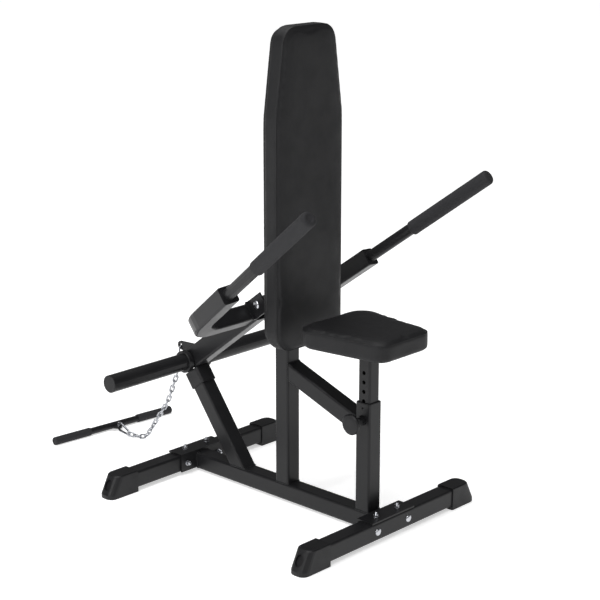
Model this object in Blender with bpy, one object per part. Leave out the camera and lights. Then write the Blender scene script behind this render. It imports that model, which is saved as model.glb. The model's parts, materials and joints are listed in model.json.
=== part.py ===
"""Plate-loaded seated dip and triceps press machine with a rear chain and row bar.

Units are metres. +Z is up, the seated user faces -Y, +X is the user's left.
The machine is drawn with its upright post at y = 0 and then shifted as a whole,
so that the origin is at the middle of its footprint, on the floor.
"""
import math

import bmesh
import bpy
from mathutils import Matrix, Vector

# ---- shared sizes -------------------------------------------------------------
GAP = 0.0003                 # running gap between neighbouring pieces
FOOTPRINT_MIDDLE_Y = 0.2061  # middle of the footprint, measured from the upright post
TUBE = 0.050                 # square frame tube
WALL = 0.0025                # frame tube wall
CORNER = 0.006               # outer corner radius of frame tube
PLATE = 0.005                # bracket plate

# ---- base ---------------------------------------------------------------------
BAR_BOTTOM = 0.011           # underside of both crossbars
BEAM_BOTTOM = 0.007          # underside of the base beam
FRONT_BAR_Y = -0.370
REAR_BAR_Y = 0.381
BAR_HALF = 0.318             # half length of a crossbar tube
BRACKET_HALF = 0.087         # half width of a beam bracket
TOP_BOLT_X = 0.044
SIDE_BOLT_X = 0.0635
BOLT_RADIUS = 0.004
BOLT_HOLE = 0.0044

CAP_INNER_X = 0.256
CAP_OUTER_X = 0.360
CAP_HALF_WIDTH = 0.028
CAP_CORNER = 0.022

# ---- upright, brace, strut ------------------------------------------------------
UPRIGHT_TOP = 1.180
BRACE_ANGLE = math.radians(20.1)
BRACE_HEIGHT_AT_POST = 0.4014    # centre line height where it crosses y = 0
STRUT_ANGLE = math.radians(53.3)
STRUT_FRONT_Y = 0.1079           # front face of the strut where it would meet the floor
STRUT_CAP_LENGTH = 0.050
STRUT_CAP_WALL = 0.004
STRUT_CAP_WIDE = 0.0555
STRUT_CAP_DEEP = 0.0615

# ---- seat -------------------------------------------------------------------------
SEAT_Y = -0.3014             # centre of receiver and seat post
RECEIVER_TOP = 0.366
POST = 0.0412
POST_BOTTOM = 0.200
POST_TOP = 0.5149
HOLE_PITCH = 0.0264
HOLE_COUNT = 8
TOP_HOLE_Z = 0.4513
POST_HOLE = 0.0058
PIN_Z = 0.3193
PIN_RADIUS = 0.005
SEAT_REAR_Y = -0.1513
SEAT_FRONT_Y = -0.437
SEAT_REAR_HALF = 0.1333
SEAT_FRONT_HALF = 0.1075
SEAT_REAR_CORNER = 0.050
SEAT_FRONT_CORNER = 0.042
SEAT_BOTTOM = 0.5205
SEAT_BOARD = 0.010
SEAT_BOARD_INSET = 0.012
SEAT_PLATE_WIDE = 0.130
SEAT_PLATE_DEEP = 0.150

# ---- backrest -----------------------------------------------------------------------
BACK_REAR_Y = -0.038
BACK_BOTTOM = 0.477
BACK_TOP = 1.356
BACK_TAPER_Z = 1.100
BACK_HALF = 0.131
BACK_TOP_HALF = 0.1035
BACK_LOW_CORNER = 0.060
BACK_TOP_CORNER = 0.050
BACK_BOARD_INSET = 0.012
BACK_PLATE = 0.0035
BACK_PLATE_WIDE = 0.160
BACK_PLATE_TALL = 0.050
BACK_PLATE_HEIGHTS = (("lower", 0.640), ("upper", 1.080))
BACK_SCREW_X = 0.060
SCREW_HOLE = 0.0034

# ---- lever ------------------------------------------------------------------------------
PIVOT_Y = 0.0915
PIVOT_Z = 0.5665
LEVER_ANGLE = math.radians(37.3)
LEVER_DROP = 0.0047          # the lever's centre line passes this far below the pivot
LEVER_HEIGHT = 0.060
LEVER_END = 0.3574           # the lever's coped end, along the lever
HORN_OFFSET = 0.3714         # pivot to horn axis, along the lever
HORN_RADIUS = 0.0255
HORN_WALL = 0.003
HORN_HALF = 0.3240
COLLAR_RADIUS = 0.033
COLLAR_IN = 0.0290
COLLAR_OUT = 0.0450
YOKE_Y = 0.0551              # centre line of the yoke's cross part, behind the pivot
LIMB_END_X = 0.283
LIMB_END_Y = -0.1845
SPLAY = math.radians(9.3)
YOKE_BEND = 0.100
YOKE_WALL = 0.003
HANDLE_RADIUS = 0.0168
HANDLE_WALL = 0.002
PLUG = 0.006                 # thickness of the square end plate that carries a handle tube
PLUG_DEPTH = 0.001           # the end plate sits this far inside the limb
GRIP_RADIUS = 0.0202
GRIP_START = 0.1650          # measured along the handle from the limb's open end
GRIP_END = 0.4535
PIVOT_BOLT = 0.006
CLEVIS_HALF = 0.0280
EYE_RADIUS = 0.021

# ---- chain and row bar ----------------------------------------------------------------------
LUG_HOLE_Y = 0.3937          # along and above the lever's centre line
LUG_HOLE_Z = 0.0578
LUG_HOLE = 0.006
LUG_HEAD = 0.0125
CHAIN_Y = 0.437              # chain hinge at the lug hole
CHAIN_Z = 0.3677
LINK_WIRE = 0.0025
LINK_HALF = 0.0080           # middle line of the wire, across the link
LINK_LENGTH = 0.0260         # middle line of the wire, end to end
CHAIN_RADIUS = 0.0065
CHAIN_BREAK = 0.0062         # each length stops this far from the bend between them
LOWER_HINGE_X = 0.0370
LOWER_HINGE_Y = 0.6293
LOWER_HINGE_Z = 0.0416
CHAIN_ROUTE = (
    (0.0000, 0.4370, 0.3388),
    (0.0010, 0.4440, 0.3140),
    (0.0040, 0.4640, 0.2700),
    (0.0080, 0.4880, 0.2250),
    (0.0140, 0.5160, 0.1750),
    (0.0220, 0.5600, 0.1200),
    (0.0290, 0.5957, 0.0790),
    (0.0370, 0.6293, 0.0416),
    (0.0430, 0.6560, 0.0160),
    (0.0400, 0.6800, 0.0078),
    (0.0340, 0.6990, 0.0078),
    (0.0292, 0.7138, 0.0095),
)
BAR_X = 0.0425
BAR_Y = 0.8120
BAR_TURN = math.radians(-5.0)
ROW_BAR_HALF = 0.228
ROW_GRIP_RADIUS = 0.0125
ROW_GRIP_LENGTH = 0.136
ROW_TUBE_RADIUS = 0.0105
TAB_REACH = 0.0255           # bar axis to the tab's hole
CARABINER_WIRE = 0.0035
CARABINER_WIDE = 0.0135
CARABINER_NARROW = 0.006
CARABINER_CENTRES = 0.0485

# ---- materials: name -> colour, roughness, metallic -----------------------------------------------
MATERIALS = {
    "black_powder_coat": ((0.018, 0.018, 0.019), 0.42, 0.35),
    "black_plastic": ((0.020, 0.020, 0.021), 0.50, 0.0),
    "black_leatherette": ((0.016, 0.016, 0.017), 0.55, 0.0),
    "black_foam_rubber": ((0.028, 0.028, 0.030), 0.75, 0.0),
    "zinc_steel": ((0.62, 0.63, 0.65), 0.30, 1.0),
    "plywood": ((0.045, 0.038, 0.030), 0.70, 0.0),
}


# ---- scene helpers ----------------------------------------------------------------------------------
def clear_scene():
    for item in list(bpy.data.objects):
        bpy.data.objects.remove(item, do_unlink=True)


def material(kind, name):
    colour, roughness, metallic = MATERIALS[kind]
    made = bpy.data.materials.new(kind + "." + name)
    made.use_nodes = True
    shader = made.node_tree.nodes["Principled BSDF"]
    shader.inputs["Base Color"].default_value = (*colour, 1.0)
    shader.inputs["Roughness"].default_value = roughness
    shader.inputs["Metallic"].default_value = metallic
    return made


def empty(name, parent=None, location=(0, 0, 0), turn=(0, 0, 0)):
    made = bpy.data.objects.new(name, None)
    bpy.context.scene.collection.objects.link(made)
    made.parent = parent
    made.location = location
    made.rotation_euler = turn
    return made


def mesh_object(name, mesh, parent, location=(0, 0, 0), turn=(0, 0, 0)):
    made = bpy.data.objects.new(name, mesh)
    bpy.context.scene.collection.objects.link(made)
    made.parent = parent
    made.location = location
    made.rotation_euler = turn
    return made


def finish(made, kind, smooth=True):
    made.data.materials.append(material(kind, made.name))
    if smooth:
        made.data.shade_smooth()
        made.data.set_sharp_from_angle(angle=math.radians(35))
    return made


# ---- outlines -----------------------------------------------------------------------------------------
def circle(radius, sides=24):
    step = 2 * math.pi / sides
    return [(radius * math.cos(k * step), radius * math.sin(k * step)) for k in range(sides)]


def hexagon(across, sides=12):
    """A hexagon with a point on each corner and on the middle of each side."""
    flat = across / 2
    corner = flat / math.cos(math.pi / 6)
    made = []
    for k in range(sides):
        radius = corner if k % 2 == 0 else flat
        angle = 2 * math.pi * k / sides
        made.append((radius * math.cos(angle), radius * math.sin(angle)))
    return made


def arc(cx, cy, radius, start, end, steps):
    made = []
    for k in range(steps + 1):
        angle = start + (end - start) * k / steps
        made.append((cx + radius * math.cos(angle), cy + radius * math.sin(angle)))
    return made


def rounded_rect(width, height, radius, steps=3):
    hx = width / 2 - radius
    hy = height / 2 - radius
    quarter = math.pi / 2
    made = []
    for k, (sx, sy) in enumerate(((1, 1), (-1, 1), (-1, -1), (1, -1))):
        made += arc(sx * hx, sy * hy, radius, k * quarter, (k + 1) * quarter, steps)
    return made


def shifted(outline, dx, dy):
    return [(x + dx, y + dy) for x, y in outline]


def ring_x(x, outline):
    return [Vector((x, u, v)) for u, v in outline]


def ring_y(y, outline):
    return [Vector((u, y, v)) for u, v in outline]


def ring_z(z, outline):
    return [Vector((u, v, z)) for u, v in outline]


# ---- solids ---------------------------------------------------------------------------------------------
def loft(name, rings, closed=False):
    """Skin rings of equal count; closed joins the last ring to the first, open ends are capped."""
    work = bmesh.new()
    made = [[work.verts.new(point) for point in ring] for ring in rings]
    count = len(made[0])
    pairs = list(zip(made, made[1:]))
    if closed:
        pairs.append((made[-1], made[0]))
    for low, high in pairs:
        for k in range(count):
            n = (k + 1) % count
            work.faces.new((low[k], low[n], high[n], high[k]))
    if not closed:
        work.faces.new(list(reversed(made[0])))
        work.faces.new(made[-1])
    bmesh.ops.recalc_face_normals(work, faces=work.faces)
    mesh = bpy.data.meshes.new(name)
    work.to_mesh(mesh)
    work.free()
    return mesh


def tube_rings(ring, start, end, outer, inner):
    return [ring(start, outer), ring(end, outer), ring(end, inner), ring(start, inner)]


def square_tube(name, ring, start, end, centre=(0, 0), side=TUBE, wall=WALL, height=None):
    height = height or side
    outer = shifted(rounded_rect(side, height, CORNER), *centre)
    inner = shifted(rounded_rect(side - 2 * wall, height - 2 * wall, CORNER - wall), *centre)
    return loft(name, tube_rings(ring, start, end, outer, inner), closed=True)


def extruded(name, ring, start, end, outline):
    return loft(name, [ring(start, outline), ring(end, outline)])


def turned(name, ring, profile, sides=24, closed=False):
    rings = [ring(position, circle(radius, sides)) for position, radius in profile]
    return loft(name, rings, closed)


def joined(name, meshes):
    """Several closed bodies in one cutter mesh."""
    work = bmesh.new()
    for mesh in meshes:
        work.from_mesh(mesh)
    made = bpy.data.meshes.new(name)
    work.to_mesh(made)
    work.free()
    return made


def cut(target, cutter_mesh, parent, location=(0, 0, 0), turn=(0, 0, 0)):
    cutter = mesh_object(cutter_mesh.name, cutter_mesh, parent, location, turn)
    cutter.hide_render = True
    cutter.display_type = "WIRE"
    step = target.modifiers.new("cut", "BOOLEAN")
    step.operation = "DIFFERENCE"
    step.solver = "EXACT"
    step.object = cutter
    return cutter


def unite(target, other_mesh, parent, location=(0, 0, 0), turn=(0, 0, 0)):
    other = cut(target, other_mesh, parent, location, turn)
    target.modifiers[-1].operation = "UNION"
    return other


def box_mesh(name, low, high):
    outline = [(low[0], low[1]), (high[0], low[1]), (high[0], high[1]), (low[0], high[1])]
    return extruded(name, ring_z, low[2], high[2], outline)


def loop_sweep(name, path, normal, radius, sides=8):
    """A round wire along a closed flat path; normal is the path's plane normal."""
    rings = []
    count = len(path)
    for k in range(count):
        tangent = (path[(k + 1) % count] - path[k - 1]).normalized()
        side = tangent.cross(normal).normalized()
        ring = [path[k] + side * u + normal * v for u, v in circle(radius, sides)]
        rings.append(ring)
    return loft(name, rings, closed=True)


# ---- base -----------------------------------------------------------------------------------------------
def crossbar(name, root, y):
    middle = BAR_BOTTOM + TUBE / 2
    mesh = square_tube(name, ring_x, -BAR_HALF, BAR_HALF, centre=(y, middle))
    made = mesh_object(name, mesh, root)
    holes = []
    for side in (-1, 1):
        vertical = shifted(circle(BOLT_HOLE, 12), side * TOP_BOLT_X, y)
        holes.append(extruded("hole", ring_z, 0.0, BAR_BOTTOM + TUBE + 0.01, vertical))
        level = shifted(circle(BOLT_HOLE, 12), side * SIDE_BOLT_X, middle)
        holes.append(extruded("hole", ring_y, y - TUBE, y + TUBE, level))
    cut(made, joined(name + "_holes", holes), root)
    return finish(made, "black_powder_coat")


def beam_bracket(name, root, bar_y, inward):
    """An angle plate over the crossbar; inward is +1 or -1, towards the middle of the beam."""
    near = bar_y + inward * (TUBE / 2 + GAP)
    plate_face = near + inward * PLATE
    far = bar_y - inward * TUBE / 2
    top = BAR_BOTTOM + TUBE + GAP
    outline = [
        (far, top),
        (near, top),
        (near, BAR_BOTTOM),
        (plate_face, BAR_BOTTOM),
        (plate_face, top + PLATE),
        (far, top + PLATE),
    ]
    mesh = extruded(name, ring_x, -BRACKET_HALF, BRACKET_HALF, outline)
    made = mesh_object(name, mesh, root)
    holes = []
    middle = BAR_BOTTOM + TUBE / 2
    for side in (-1, 1):
        vertical = shifted(circle(BOLT_HOLE, 12), side * TOP_BOLT_X, bar_y)
        holes.append(extruded("hole", ring_z, top - 0.01, top + 0.02, vertical))
        level = shifted(circle(BOLT_HOLE, 12), side * SIDE_BOLT_X, middle)
        low = min(near, plate_face) - 0.01
        high = max(near, plate_face) + 0.01
        holes.append(extruded("hole", ring_y, low, high, level))
    cut(made, joined(name + "_holes", holes), root)
    return finish(made, "black_powder_coat")


def bolt(name, parent, location, turn, grip, radius=BOLT_RADIUS, head=0.0105, hex_across=0.013):
    """Domed head below z = 0, shank, washer, hexagon nut and thread end, in one piece."""
    rings = [
        ring_z(-0.0045, circle(head * 0.35, 12)),
        ring_z(-0.0038, circle(head * 0.75, 12)),
        ring_z(-0.0018, circle(head, 12)),
        ring_z(-GAP, circle(head, 12)),
        ring_z(-GAP, circle(radius, 12)),
        ring_z(grip + GAP, circle(radius, 12)),
        ring_z(grip + GAP, circle(hex_across * 0.64, 12)),
        ring_z(grip + 0.0018, circle(hex_across * 0.64, 12)),
        ring_z(grip + 0.0018, hexagon(hex_across)),
        ring_z(grip + 0.0018 + radius * 1.7, hexagon(hex_across)),
        ring_z(grip + 0.0018 + radius * 1.7, circle(radius, 12)),
        ring_z(grip + 0.0018 + radius * 2.9, circle(radius, 12)),
        ring_z(grip + 0.0018 + radius * 3.1, circle(radius * 0.8, 12)),
    ]
    made = mesh_object(name, loft(name, rings), parent, location, turn)
    return finish(made, "zinc_steel")


def base_bolts(root):
    middle = BAR_BOTTOM + TUBE / 2
    quarter = math.pi / 2
    for place, bar_y, inward in (("front", FRONT_BAR_Y, 1), ("rear", REAR_BAR_Y, -1)):
        for hand, side in (("right", -1), ("left", 1)):
            bolt("bolt_" + place + "_top_" + hand, root,
                 (side * TOP_BOLT_X, bar_y, BAR_BOTTOM), (0, 0, 0), TUBE + GAP + PLATE, head=0.0095)
            bolt("bolt_" + place + "_side_" + hand, root,
                 (side * SIDE_BOLT_X, bar_y - inward * TUBE / 2, middle),
                 (-inward * quarter, 0, 0), TUBE + GAP + PLATE)


def cap_outline(outer_x, inset):
    half = CAP_HALF_WIDTH - inset
    corner = CAP_CORNER - inset
    quarter = math.pi / 2
    made = [(CAP_INNER_X, half), (CAP_INNER_X, -half)]
    made += arc(outer_x - corner, -(half - corner), corner, -quarter, 0, 5)
    made += arc(outer_x - corner, half - corner, corner, 0, quarter, 5)
    return made


def end_cap(name, root, bar_y, side):
    """A boot on the crossbar's end, with a sloping nose and an oval recess in it."""
    top = BAR_BOTTOM + TUBE + 0.0045
    skirt = 0.012
    nose_top = 0.334
    rings = [
        ring_z(0.0, cap_outline(CAP_OUTER_X - 0.0015, 0.0015)),
        ring_z(0.0015, cap_outline(CAP_OUTER_X, 0.0)),
        ring_z(skirt, cap_outline(CAP_OUTER_X, 0.0)),
        ring_z(top - 0.003, cap_outline(nose_top, 0.0)),
        ring_z(top, cap_outline(nose_top - 0.0035, 0.003)),
    ]
    turn = (0, 0, 0 if side > 0 else math.pi)
    place = (0, bar_y, 0)
    made = mesh_object(name, loft(name, rings), root, place, turn)
    fit = TUBE / 2 + GAP
    pocket = box_mesh(name + "_pocket", (CAP_INNER_X - 0.01, -fit, BAR_BOTTOM - GAP),
                      (BAR_HALF + GAP, fit, BAR_BOTTOM + TUBE + GAP))
    cut(made, pocket, root, place, turn)
    slope = math.atan2(CAP_OUTER_X - nose_top, top - 0.003 - skirt)
    oval = [(0.017 * u, 0.013 * v) for u, v in circle(1.0, 16)]
    recess = extruded(name + "_recess", ring_z, -0.008, 0.012, oval)
    centre = Vector(((CAP_OUTER_X + nose_top) / 2, 0, (skirt + top) / 2))
    # the recess is sunk square to the nose: its local z points out along the slope's normal
    tilt = math.pi / 2 - slope
    if side > 0:
        cut(made, recess, root, (centre.x, bar_y, centre.z), (0, tilt, 0))
    else:
        cut(made, recess, root, (-centre.x, bar_y, centre.z), (0, -tilt, 0))
    return finish(made, "black_plastic")


def base(root):
    crossbar("front_crossbar", root, FRONT_BAR_Y)
    crossbar("rear_crossbar", root, REAR_BAR_Y)
    beam_bracket("front_bracket", root, FRONT_BAR_Y, 1)
    beam_bracket("rear_bracket", root, REAR_BAR_Y, -1)
    base_bolts(root)
    for place, bar_y in (("front", FRONT_BAR_Y), ("rear", REAR_BAR_Y)):
        for hand, side in (("right", -1), ("left", 1)):
            end_cap("end_cap_" + place + "_" + hand, root, bar_y, side)
    clear = TUBE / 2 + 2 * GAP + PLATE
    mesh = square_tube("base_beam", ring_y, FRONT_BAR_Y + clear, REAR_BAR_Y - clear,
                       centre=(0, BEAM_BOTTOM + TUBE / 2))
    finish(mesh_object("base_beam", mesh, root), "black_powder_coat")


# ---- posts, brace and strut ---------------------------------------------------------------------------------
def upright(root):
    bottom = BEAM_BOTTOM + TUBE + GAP
    mesh = square_tube("upright_post", ring_z, bottom, UPRIGHT_TOP)
    finish(mesh_object("upright_post", mesh, root), "black_powder_coat")
    plug_side = TUBE - 2 * WALL - 2 * GAP
    head = rounded_rect(TUBE, TUBE, CORNER)
    insert = rounded_rect(plug_side, plug_side, 0.003)
    rings = [
        ring_z(UPRIGHT_TOP - 0.014, insert),
        ring_z(UPRIGHT_TOP + GAP, insert),
        ring_z(UPRIGHT_TOP + GAP, head),
        ring_z(UPRIGHT_TOP + 0.003, head),
        ring_z(UPRIGHT_TOP + 0.0045, rounded_rect(TUBE - 0.006, TUBE - 0.006, 0.004)),
    ]
    finish(mesh_object("upright_plug", loft("upright_plug", rings), root), "black_plastic")


def receiver(root):
    bottom = BEAM_BOTTOM + TUBE + GAP
    mesh = square_tube("seat_receiver", ring_z, bottom, RECEIVER_TOP)
    made = mesh_object("seat_receiver", mesh, root, (0, SEAT_Y, 0))
    pin_hole = shifted(circle(PIN_RADIUS + 0.0005, 16), 0, PIN_Z)
    screw_hole = shifted(circle(0.003, 12), 0, PIN_Z + 0.034)
    holes = [
        extruded("hole", ring_x, -TUBE, -0.015, pin_hole),
        extruded("hole", ring_x, -TUBE, -0.015, screw_hole),
    ]
    cut(made, joined("seat_receiver_holes", holes), root, (0, SEAT_Y, 0))
    finish(made, "black_powder_coat")


def seat_bushing(root):
    """A plastic guide sleeve with a top flange, inside the receiver's mouth."""
    outer = TUBE - 2 * WALL - 2 * GAP
    inner = POST + 2 * GAP
    sleeve = rounded_rect(outer, outer, 0.003)
    flange = rounded_rect(TUBE - 0.001, TUBE - 0.001, 0.0055)
    bore = rounded_rect(inner, inner, 0.0045)
    low = RECEIVER_TOP - 0.030
    rings = [
        ring_z(low, sleeve),
        ring_z(RECEIVER_TOP + GAP, sleeve),
        ring_z(RECEIVER_TOP + GAP, flange),
        ring_z(RECEIVER_TOP + 0.0019, flange),
        ring_z(RECEIVER_TOP + 0.0019, bore),
        ring_z(low, bore),
    ]
    mesh = loft("seat_bushing", rings, closed=True)
    finish(mesh_object("seat_bushing", mesh, root, (0, SEAT_Y, 0)), "black_plastic")


def brace(root):
    mesh = square_tube("diagonal_brace", ring_z, -0.36, 0.06)
    turn = (BRACE_ANGLE - math.pi / 2, 0, 0)
    made = mesh_object("diagonal_brace", mesh, root, (0, 0, BRACE_HEIGHT_AT_POST), turn)
    post_face = -TUBE / 2 - GAP
    receiver_face = SEAT_Y + TUBE / 2 + GAP
    cut(made, box_mesh("brace_upper_cut", (-0.05, post_face, 0.2), (0.05, 0.3, 0.6)), root)
    cut(made, box_mesh("brace_lower_cut", (-0.05, -0.6, 0.1), (0.05, receiver_face, 0.6)), root)
    finish(made, "black_powder_coat")


def strut_line():
    """A point on the strut's centre line, and how far up it the lever's underside comes to rest."""
    along = Vector((0, math.cos(STRUT_ANGLE), math.sin(STRUT_ANGLE)))
    across = Vector((0, math.sin(STRUT_ANGLE), -math.cos(STRUT_ANGLE)))
    start = across * (Vector((0, STRUT_FRONT_Y, 0)).dot(across) + TUBE / 2)
    underside = lever_point(LEVER_END, -LEVER_HEIGHT / 2)
    top = (underside - start).dot(along) - GAP
    return start, top


def strut(root):
    start, top = strut_line()
    turn = (STRUT_ANGLE - math.pi / 2, 0, 0)
    tube_top = top - STRUT_CAP_WALL - GAP
    mesh = square_tube("rear_strut", ring_z, -0.10, tube_top)
    made = mesh_object("rear_strut", mesh, root, start, turn)
    floor_cut = box_mesh("strut_lower_cut", (-0.05, -0.2, -0.3), (0.05, 0.6, BEAM_BOTTOM + TUBE + GAP))
    cut(made, floor_cut, root)
    finish(made, "black_powder_coat")
    fit = TUBE + 2 * GAP
    wide = STRUT_CAP_WIDE
    deep = STRUT_CAP_DEEP
    low = top - STRUT_CAP_LENGTH
    rings = [
        ring_z(top - STRUT_CAP_WALL, rounded_rect(fit, fit, CORNER)),
        ring_z(low, rounded_rect(fit, fit, CORNER)),
        ring_z(low, rounded_rect(wide, deep, 0.008)),
        ring_z(top - 0.0015, rounded_rect(wide, deep, 0.008)),
        ring_z(top, rounded_rect(wide - 0.003, deep - 0.003, 0.0065)),
    ]
    cap = mesh_object("strut_cap", loft("strut_cap", rings), root, start, turn)
    finish(cap, "black_plastic")


def pivot_arm(root):
    """A short arm with a bored eye behind the upright post; the lever turns on the eye."""
    height = EYE_RADIUS - 0.001
    face = TUBE / 2 + GAP - PIVOT_Y
    outline = [(face, height), (face, -height)]
    turn = math.asin(height / EYE_RADIUS) + math.radians(7)
    outline += arc(0, 0, EYE_RADIUS, -turn, turn, 12)
    width = TUBE / 2 - GAP
    mesh = extruded("pivot_arm", ring_x, -width, width, outline)
    place = (0, PIVOT_Y, PIVOT_Z)
    made = mesh_object("pivot_arm", mesh, root, place)
    bore = extruded("pivot_arm_bore", ring_x, -0.04, 0.04, circle(PIVOT_BOLT + 0.0002, 16))
    cut(made, bore, root, place)
    finish(made, "black_powder_coat")


# ---- seat -----------------------------------------------------------------------------------------------------
def seat_outline(inset):
    rear = SEAT_REAR_Y - inset
    front = SEAT_FRONT_Y + inset
    wide = SEAT_REAR_HALF - inset
    slim = SEAT_FRONT_HALF - inset
    back = SEAT_REAR_CORNER - inset * 0.7
    fore = SEAT_FRONT_CORNER - inset * 0.6
    quarter = math.pi / 2
    lean = math.atan2(wide - slim, rear - front)
    made = arc(wide - back, rear - back, back, -lean, quarter, 6)
    made += arc(back - wide, rear - back, back, quarter, math.pi + lean, 6)
    made += arc(fore - slim, front + fore, fore, math.pi + lean, 3 * quarter, 6)
    made += arc(slim - fore, front + fore, fore, -quarter, -lean, 6)
    return shifted(made, 0, -SEAT_Y)


def seat(slide):
    """Everything that rises with the seat post; the slide's origin is on the post's axis at the pin."""
    z0 = PIN_Z
    mesh = square_tube("seat_post", ring_z, POST_BOTTOM - z0, POST_TOP - z0, side=POST)
    post = mesh_object("seat_post", mesh, slide)
    holes = []
    for k in range(HOLE_COUNT):
        place = shifted(circle(POST_HOLE, 12), 0, TOP_HOLE_Z - k * HOLE_PITCH - z0)
        holes.append(extruded("hole", ring_x, -0.03, 0.03, place))
    cut(post, joined("seat_post_holes", holes), slide)
    finish(post, "black_powder_coat")

    low = POST_TOP + GAP - z0
    plate = rounded_rect(SEAT_PLATE_WIDE, SEAT_PLATE_DEEP, 0.012)
    mesh = extruded("seat_plate", ring_z, low, low + PLATE, plate)
    finish(mesh_object("seat_plate", mesh, slide), "black_powder_coat")

    low = SEAT_BOTTOM - z0
    mesh = extruded("seat_board", ring_z, low, low + SEAT_BOARD, seat_outline(SEAT_BOARD_INSET))
    finish(mesh_object("seat_board", mesh, slide), "plywood")

    steps = ((0.0, 0.006), (0.0025, 0.0015), (0.007, 0.0), (0.044, 0.0), (0.0475, 0.0012),
             (0.0500, 0.0045), (0.0530, 0.014), (0.0560, 0.034), (0.0575, 0.060))
    rings = [ring_z(SEAT_BOTTOM + rise - z0, seat_outline(inset)) for rise, inset in steps]
    pad = mesh_object("seat_pad", loft("seat_pad", rings), slide)
    pocket = extruded("seat_pad_pocket", ring_z, low - 0.01, low + SEAT_BOARD + GAP,
                      seat_outline(SEAT_BOARD_INSET - GAP))
    cut(pad, pocket, slide)
    finish(pad, "black_leatherette")


def pin_parts(root, pin_axis):
    """The threaded barrel on the receiver and the sprung pin with its mushroom knob."""
    bore = PIN_RADIUS + 0.0003
    base_x = -TUBE / 2 - GAP
    rings = [
        ring_x(base_x, circle(bore, 12)),
        ring_x(base_x, hexagon(0.024)),
        ring_x(base_x - 0.008, hexagon(0.024)),
        ring_x(base_x - 0.008, circle(0.0105, 12)),
        ring_x(base_x - 0.020, circle(0.0105, 12)),
        ring_x(base_x - 0.0215, circle(0.009, 12)),
        ring_x(base_x - 0.0215, circle(bore, 12)),
    ]
    barrel = mesh_object("pin_barrel", loft("pin_barrel", rings, closed=True), root, (0, SEAT_Y, PIN_Z))
    finish(barrel, "black_powder_coat")
    tip = -POST / 2 - GAP
    profile = [
        (tip, 0.0040),
        (tip - 0.001, PIN_RADIUS),
        (-0.0520, PIN_RADIUS),
        (-0.0520, 0.0100),
        (-0.0600, 0.0110),
        (-0.0640, 0.0150),
        (-0.0655, 0.0270),
        (-0.0680, 0.0290),
        (-0.0740, 0.0290),
        (-0.0770, 0.0260),
        (-0.0785, 0.0180),
        (-0.0790, 0.0080),
    ]
    pin = mesh_object("pull_pin", turned("pull_pin", ring_x, profile), pin_axis)
    finish(pin, "black_plastic")


# ---- backrest ---------------------------------------------------------------------------------------------------
def back_outline(inset):
    """The pad's front view in x and z: straight sides, a taper and round corners."""
    low_corner = BACK_LOW_CORNER - inset
    top_corner = BACK_TOP_CORNER - inset
    half = BACK_HALF - inset
    top_half = BACK_TOP_HALF - inset
    bottom = BACK_BOTTOM + inset
    top = BACK_TOP - inset
    quarter = math.pi / 2
    lean = math.atan2(half - top_half, BACK_TOP - BACK_TOP_CORNER - BACK_TAPER_Z)
    made = arc(half - low_corner, bottom + low_corner, low_corner, -quarter, 0, 6)
    made.append((half, BACK_TAPER_Z - 0.02))
    made.append((half - 0.0012, BACK_TAPER_Z + 0.02))
    made += arc(top_half - top_corner, top - top_corner, top_corner, lean, quarter, 6)
    made += arc(top_corner - top_half, top - top_corner, top_corner, quarter, math.pi - lean, 6)
    made.append((-half + 0.0012, BACK_TAPER_Z + 0.02))
    made.append((-half, BACK_TAPER_Z - 0.02))
    made += arc(low_corner - half, bottom + low_corner, low_corner, math.pi, 3 * quarter, 6)
    return made


def backrest(root):
    steps = ((0.0, 0.006), (0.0025, 0.0015), (0.007, 0.0), (0.0425, 0.0), (0.0462, 0.0012),
             (0.0485, 0.0045), (0.0508, 0.014), (0.0530, 0.032), (0.0538, 0.050))
    rings = [ring_y(BACK_REAR_Y - out, back_outline(inset)) for out, inset in steps]
    pad = mesh_object("backrest_pad", loft("backrest_pad", rings), root)
    finish(pad, "black_leatherette")

    plate_rear = -TUBE / 2 - GAP
    board_rear = plate_rear - BACK_PLATE - GAP
    mesh = extruded("backrest_board", ring_y, BACK_REAR_Y + GAP, board_rear,
                    back_outline(BACK_BOARD_INSET))
    board = mesh_object("backrest_board", mesh, root)
    board_holes = []
    for place, z in BACK_PLATE_HEIGHTS:
        outline = shifted(rounded_rect(BACK_PLATE_WIDE, BACK_PLATE_TALL, CORNER), 0, z)
        name = "backrest_plate_" + place
        mesh = extruded(name, ring_y, plate_rear - BACK_PLATE, plate_rear, outline)
        plate = mesh_object(name, mesh, root)
        holes = []
        for hand, side in (("right", -1), ("left", 1)):
            hole = shifted(circle(SCREW_HOLE, 12), side * BACK_SCREW_X, z)
            holes.append(extruded("hole", ring_y, plate_rear - 0.006, plate_rear + 0.006, hole))
            board_holes.append(extruded("hole", ring_y, plate_rear - 0.011, plate_rear + 0.006, hole))
            screw(root, "backrest_screw_" + place + "_" + hand,
                  (side * BACK_SCREW_X, plate_rear, z))
        cut(plate, joined(name + "_holes", holes), root)
        finish(plate, "black_powder_coat")
    cut(board, joined("backrest_board_holes", board_holes), root)
    finish(board, "plywood")


def screw(root, name, place):
    """A pan head screw pointing forward, its head behind the plate."""
    profile = [
        (0.0042, 0.0025),
        (0.0034, 0.0052),
        (0.0018, 0.0062),
        (GAP, 0.0062),
        (GAP, 0.0030),
        (-0.0088, 0.0030),
        (-0.0102, 0.0016),
    ]
    made = mesh_object(name, turned(name, ring_y, profile, sides=12), root, place)
    finish(made, "zinc_steel")


# ---- lever ------------------------------------------------------------------------------------------------------------
def lever_point(along, above):
    """A point along and above the lever's centre line, in the machine's frame."""
    cos = math.cos(LEVER_ANGLE)
    sin = math.sin(LEVER_ANGLE)
    above = above - LEVER_DROP
    return Vector((0, PIVOT_Y + along * cos + above * sin, PIVOT_Z - along * sin + above * cos))


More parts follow.
